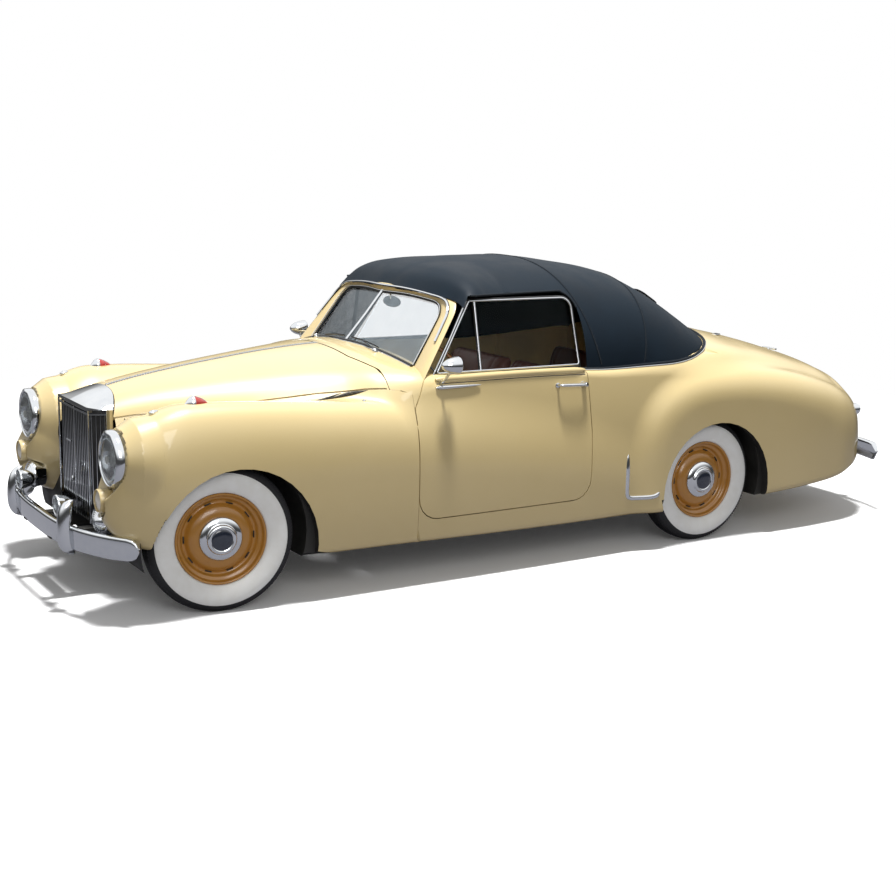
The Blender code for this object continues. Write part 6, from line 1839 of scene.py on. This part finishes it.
tilt = math.radians(24)
column = Vector((0, math.cos(tilt), math.sin(tilt)))
finished(spin([(0.0, -0.300), (0.028, -0.300), (0.0285, -0.200), (0.0260, -0.160),
               (0.0240, -0.1505), (0.0, -0.1505)], hub, column, 32), "column_boss",
         bakelite, "body")
tell("dash")

# %% Steering wheel
rim = [(0.200 + 0.0118 * math.cos(a), 0.0100 * math.sin(a))
       for a in np.linspace(0, 2 * math.pi, 17)[:-1]]
finished(spin(rim, hub, column, 96, loop=True), "steering_rim", tan_rim, "steering_wheel",
         smooth=60, stands_for=("steering_wheel",))
finished(spin([(0.0, -0.1495), (0.0155, -0.1495), (0.0160, -0.040), (0.022, -0.030),
               (0.031, -0.022), (0.0318, 0.002), (0.027, 0.007), (0.012, 0.0098),
               (0.0, 0.0100)], hub, column, 40), "steering_boss", bakelite,
         "steering_wheel", smooth=50)
for k in range(3):
    way = Matrix.Rotation(math.radians(90 + 120 * k), 3, column) @ Vector((1, 0, 0))
    spoke = [hub + way * r + column * h for r, h in
             ((0.022, -0.014), (0.080, -0.012), (0.140, -0.006), (0.192, 0.0))]
    finished(swept(smooth_path(spoke, 5), round_bar(0.0068, 12, 0.55), up=tuple(column),
                   scale=[1.5 - 0.5 * math.sin(math.pi * i / 15) for i in range(16)]),
             "steering_spoke_%d" % (k + 1), dull_steel, "steering_wheel",
             smooth=60)
tell("steering wheel")

# %% [markdown]
# ## Canvas seams, binding and rear light
# Two sewn seams cross the top, each a welt with a row of stitches beside it. A chromium
# bead over a black flange holds the canvas to the body, and its path is where the top's
# rule meets the body's. The rear light is a clear pane in a bound opening with round
# corners.

# %% Seams
def seam_line(s_at_ridge, s_at_base, lift, beside=0.0, count=80):
    """A line over the top from base to base, leaning back towards its base."""
    line = []
    for turn in np.linspace(0.012, math.pi - 0.012, count):
        rise = max(0.0, math.sin(turn)) ** 0.8
        s = s_at_base + (s_at_ridge - s_at_base) * rise + beside
        p = top_point(s, float(turn), lift)
        if not under_skin(p):
            line.append(p)
    return line


for label, ridge, base in (("front", 2.000, 2.185), ("rear", 2.530, 2.435)):
    welt = seam_line(ridge, base, 0.0016)
    finished(swept(welt, round_bar(0.0034, 8)), "canvas_seam_" + label, canvas_dark, "body",
             smooth=60)
    stitches = seam_line(ridge, base, 0.0016, beside=0.011)
    repeated("canvas_stitches_" + label, stitches, lozenge(0.0016, 0.0012, 0.0065, 0.3), 210,
             canvas_dark, "body")


# %% Bead and flange round the base
def top_over(x, s):
    """Height of the top's rule over a point; the body's belt height outside it."""
    half = float(top_half(s))
    c = min(abs(x) / half, 1.0)
    rise = (1 - c ** 2.5) ** 0.4
    return 0.95 + (float(top_line(s)) - 0.95) * rise


TOP_MIDDLE = 2.5               # the base is found by rays from this station
TOP_REAR = 3.22


def on_canvas(x, s):
    """True where the top's rule is above the body's."""
    return s < TOP_REAR and top_over(x, s) > skin_height(abs(x), s)


base_line = []
for turn in np.linspace(math.radians(-33.5), math.pi + math.radians(33.5), 140):
    c, v = math.cos(turn), math.sin(turn)
    far = min(0.95, 0.746 / max(abs(c), 0.1))
    near = closing_on(0.30, far, lambda r: on_canvas(r * c, TOP_MIDDLE + r * v))
    base_line.append((near * c, TOP_MIDDLE + near * v))
print("base of the top: from station", round(base_line[0][1], 3), "to",
      round(max(p[1] for p in base_line), 3))
flange = [on_top(x, s, 0.0035) for x, s in base_line]
finished(swept(flange, round_bar(0.0085, 10)), "canvas_flange", canvas_dark, "body",
         smooth=60)
bead = []
for x, s in base_line:
    away = Vector((x, s - TOP_MIDDLE)).normalized()
    bead.append(on_top(min(0.748, abs(x + 0.008 * away.x)) * (1 if x > 0 else -1),
                       s + 0.008 * away.y, 0.0030))
finished(swept(bead, round_bar(0.0036, 10)), "canvas_bead", smooth=60)
for side, sign in SIDES:
    edge = []
    for u, v in WINDOW_WAY[1:-1]:
        if v > 1.03:
            turn = closing_on(0.0, math.pi / 2, lambda turn: top_point(u, turn).z < v, 26)
            p = top_point(u, turn)
            edge.append(Vector((sign * p.x, p.y, p.z)))
    dense = smooth_path([tuple(p) for p in edge], 3)
    finished(swept(dense, round_bar(0.0055, 10)), "window_binding_" + side, canvas_dark,
             "body", smooth=60)
tell("bead, flange and bindings")

# %% Rear light
UPWARD = 1 if rear_plane(0, 0, 0.05).z > rear_plane(0, 0, 0).z else -1


def on_slope(u, v, lift):
    """A point of the canvas over the rear light's plane, lifted off it."""
    def below(w):
        p = rear_plane(u, v, UPWARD * w)
        return p.z < top_over(p.x, p.y - FRONT_AXLE)
    return rear_plane(u, v, UPWARD * (closing_on(-0.12, 0.12, below, 26) + lift))


shrink = (1.0, 0.66, 0.33, 0.02)
rows = [[on_slope(u * t, v * t, -0.0012) for u, v in REAR_LIGHT] for t in shrink]
rows += [[on_slope(u * t, v * t, -0.0030) for u, v in REAR_LIGHT] for t in shrink[::-1]]
finished(solid(rows), "rear_light_pane", window_glass, "body",
         smooth=60, stands_for=("rear_window",))
rim = [on_slope(u * 1.02, v * 1.05, 0.0015) for u, v in REAR_LIGHT]
slope_up = rear_plane(0, 0, UPWARD) - rear_plane(0, 0, 0)
finished(swept(rim, [(-0.008, -0.002), (0.008, -0.002), (0.007, 0.0025), (-0.007, 0.0025)],
               up=tuple(slope_up), closed=True), "rear_light_binding", canvas_dark, "body",
         smooth=50)
tell("rear light")

# %% [markdown]
# ## Tail
# A pair of round lamps, ruby glass in chromium, a T handle and two hinges on the boot lid,
# and a blank plate panel between.

# %% Tail lamps and boot furniture
for side, sign in SIDES:
    centre = placed(sign * 0.640, 4.205, 0.645)
    finished(spin([(0.0, -0.045), (0.0330, -0.045), (0.0335, 0.000), (0.0336, 0.0060),
                   (0.0315, 0.0090), (0.0290, 0.0085), (0.0285, 0.004), (0.0, 0.003)], centre,
                  (0, 1, 0), 48), "tail_lamp_rim_" + side, stands_for=("tail_lamp_" + side,))
    dome = [(0.0288 * math.cos(a), 0.0045 + 0.0210 * math.sin(a))
            for a in np.linspace(0, math.pi / 2, 10)]
    dome[-1] = (0.0, dome[-1][1])
    finished(spin([(0.0, 0.003)] + dome, centre, (0, 1, 0), 40), "tail_lamp_glass_" + side,
             ruby, "body", smooth=60)
    p = on_top(sign * 0.25, 3.372, 0.001)
    finished(block_between(p + Vector((-0.022, -0.016, -0.004)), p
                           + Vector((0.022, 0.034, 0.005)), 0.004, 3), "lid_hinge_" + side,
             chrome, "boot_lid")
lid_low, away = spot_on_skin(0.0, 4.06, 0.92)
finished(spin([(0.0, -0.004), (0.020, -0.004), (0.0205, 0.004), (0.012, 0.010), (0.0085, 0.020),
               (0.0, 0.021)], lid_low, away, 32), "boot_handle_boss", chrome, "boot_lid")
bar = [lid_low + away * 0.022 + Vector((x, 0, 0)) for x in np.linspace(-0.062, 0.062, 13)]
finished(swept(bar, round_bar(0.0075, 14), up=tuple(away),
               scale=[0.45 + 0.55 * math.sin(math.pi * (i + 1) / 14) ** 0.4
                      for i in range(13)]), "boot_handle_bar", chrome, "boot_lid", smooth=60)

plate = block_between(placed(-0.185, 4.338, 0.500), placed(0.185, 4.346, 0.604), 0.003, 3)
finished(plate, "tail_plate_blank", bakelite, "body")
edge = [placed(x, 4.3445, z) for x, z in
        rounded([(-0.188, 0.497), (0.188, 0.497), (0.188, 0.607), (-0.188, 0.607)],
                [0.012] * 4)]
finished(swept(edge, round_bar(0.0035, 8), up=(0, 1, 0), closed=True), "tail_plate_frame",
         smooth=60)
tell("tail")

# %% [markdown]
# ## Running gear and glass from the frame
# Chassis, axles, engine and the flat panes are right as the CAD has them, so they stay
# and only get their finishes.

# %% Finish what stays
STAY = {"chassis_frame": chassis_black, "front_suspension": chassis_black,
        "rear_axle": chassis_black, "knuckle_left": chassis_black,
        "knuckle_right": chassis_black, "engine_block": iron, "windscreen_glass": screen_glass,
        "door_glass_left": window_glass, "door_glass_right": window_glass}
for name, finish in STAY.items():
    for slot_at in nodes[name].material_slots:
        slot_at.material = finish
print("kept as cut:", ", ".join(sorted(STAY)))

# %% [markdown]
# ## Camera, floor and light
# The car stands on a plain pale studio floor. One lamp hangs high above it, a little to
# its left, so the tops are bright and the shadow lies close round the wheels; a weak, wide
# one on the left lifts that side. The world is white to the eye and lights the car only
# gently; plate sees it darken towards the floor, as the walls of a studio do.

# %% Camera
turn, dip, roll = (math.radians(a) for a in (57.9178, 11.2992, 1.3088))
back = Vector((math.sin(turn) * math.cos(dip), -math.cos(turn) * math.cos(dip), math.sin(dip)))
right = Vector((math.cos(turn), math.sin(turn), 0.0))
up = right.cross(-back)
right, up = (math.cos(roll) * right + math.sin(roll) * up,
             -math.sin(roll) * right + math.cos(roll) * up)
lens = bpy.data.cameras.new("camera")
lens.lens, lens.sensor_width, lens.clip_end = 58.1556, 36.0, 200.0
lens.shift_x, lens.shift_y = -0.010004, 0.003376
camera = bpy.data.objects.new("camera", lens)
EYE = (6.78595, -4.39997, 2.07770)
camera.matrix_world = Matrix([(right[k], up[k], back[k], EYE[k]) for k in range(3)]
                             + [(0, 0, 0, 1)])
print("camera:", lens.lens, "mm, at", EYE)
bpy.context.scene.collection.objects.link(camera)
bpy.context.scene.camera = camera

# %% Floor
floor_finish, tree, shader = new_finish("painted studio floor", "#FAFAFA", 0.9)
path = add(tree, "ShaderNodeLightPath")
# seen directly it is white; what it sends back to the car is the grey of a painted floor
tone = add(tree, "ShaderNodeMix", {0: path.outputs["Is Camera Ray"]}, data_type="RGBA")
tone.inputs[6].default_value = hex_colour("#707076")
tone.inputs[7].default_value = hex_colour("#FCFCFC")
tree.links.new(tone.outputs[2], shader.inputs["Base Color"])
lift = add(tree, "ShaderNodeEmission", {"Color": (1, 1, 1, 1), "Strength": 0.03})
seen = add(tree, "ShaderNodeMixShader", {0: path.outputs["Is Camera Ray"],
                                         1: shader.outputs["BSDF"]})
both = add(tree, "ShaderNodeAddShader", {0: shader.outputs["BSDF"],
                                         1: lift.outputs["Emission"]})
tree.links.new(both.outputs["Shader"], seen.inputs[2])
# the floor fades out towards its rim, so that no horizon line shows
where = add(tree, "ShaderNodeTexCoord").outputs["Object"]
far = add(tree, "ShaderNodeVectorMath", {0: where}, operation="LENGTH")
fade = add(tree, "ShaderNodeMapRange", {"Value": far.outputs["Value"], "From Min": 3.6,
                                        "From Max": 7.0}, interpolation_type="SMOOTHSTEP")
clear = add(tree, "ShaderNodeBsdfTransparent")
ground = add(tree, "ShaderNodeMixShader", {0: fade.outputs["Result"],
                                           1: seen.outputs["Shader"],
                                           2: clear.outputs["BSDF"]})
tree.links.new(ground.outputs["Shader"], tree.nodes["Material Output"].inputs["Surface"])
bm = bmesh.new()
bmesh.ops.create_grid(bm, x_segments=4, y_segments=4, size=7.2)
mesh = bpy.data.meshes.new("studio_floor")
bm.to_mesh(mesh)
bm.free()
mesh.materials.append(floor_finish)
floor = bpy.data.objects.new("studio_floor", mesh)
bpy.context.scene.collection.objects.link(floor)

# %% Light
world = bpy.data.worlds.new("studio")
bpy.context.scene.world = world
world.use_nodes = True
tree = world.node_tree
tree.nodes.clear()
path = add(tree, "ShaderNodeLightPath")
fill = add(tree, "ShaderNodeBackground", {"Color": (1, 1, 1, 1), "Strength": 0.25})
white = add(tree, "ShaderNodeBackground", {"Color": (1, 1, 1, 1), "Strength": 1.0})
seen = add(tree, "ShaderNodeMath", {0: path.outputs["Is Camera Ray"],
                                    1: path.outputs["Is Transmission Ray"]},
           operation="MAXIMUM")
# in mirrors the studio is pale overhead and falls to grey walls near the floor
where = add(tree, "ShaderNodeTexCoord").outputs["Generated"]
height = add(tree, "ShaderNodeSeparateXYZ", {"Vector": where})
climb = add(tree, "ShaderNodeMapRange", {"Value": height.outputs["Z"], "From Min": 0.02,
                                         "From Max": 0.50, "To Min": 0.07, "To Max": 1.25},
            interpolation_type="SMOOTHSTEP")
walls = add(tree, "ShaderNodeBackground", {"Color": (1, 1, 1, 1),
                                           "Strength": climb.outputs["Result"]})
mirrored = add(tree, "ShaderNodeMixShader", {0: path.outputs["Is Glossy Ray"],
                                             1: fill.outputs[0], 2: walls.outputs[0]})
mixed = add(tree, "ShaderNodeMixShader", {0: seen.outputs[0], 1: mirrored.outputs[0],
                                          2: white.outputs[0]})
add(tree, "ShaderNodeOutputWorld", {"Surface": mixed.outputs[0]})


def softbox(name, place, aim, size, power):
    """A square lamp that points at a place."""
    light = bpy.data.lights.new(name, "AREA")
    light.shape, light.size, light.energy = "SQUARE", size, power
    item = bpy.data.objects.new(name, light)
    item.location = place
    item.rotation_euler = (Vector(aim) - Vector(place)).to_track_quat("-Z", "Y").to_euler()
    bpy.context.scene.collection.objects.link(item)


softbox("top_softbox", (1.7, -0.8, 14.0), (0, 0, 0.4), 1.6, 3600)
softbox("side_softbox", (8.5, -3.5, 5.0), (0, 0, 0.6), 4.0, 200)
bpy.context.scene.view_settings.view_transform = "Standard"
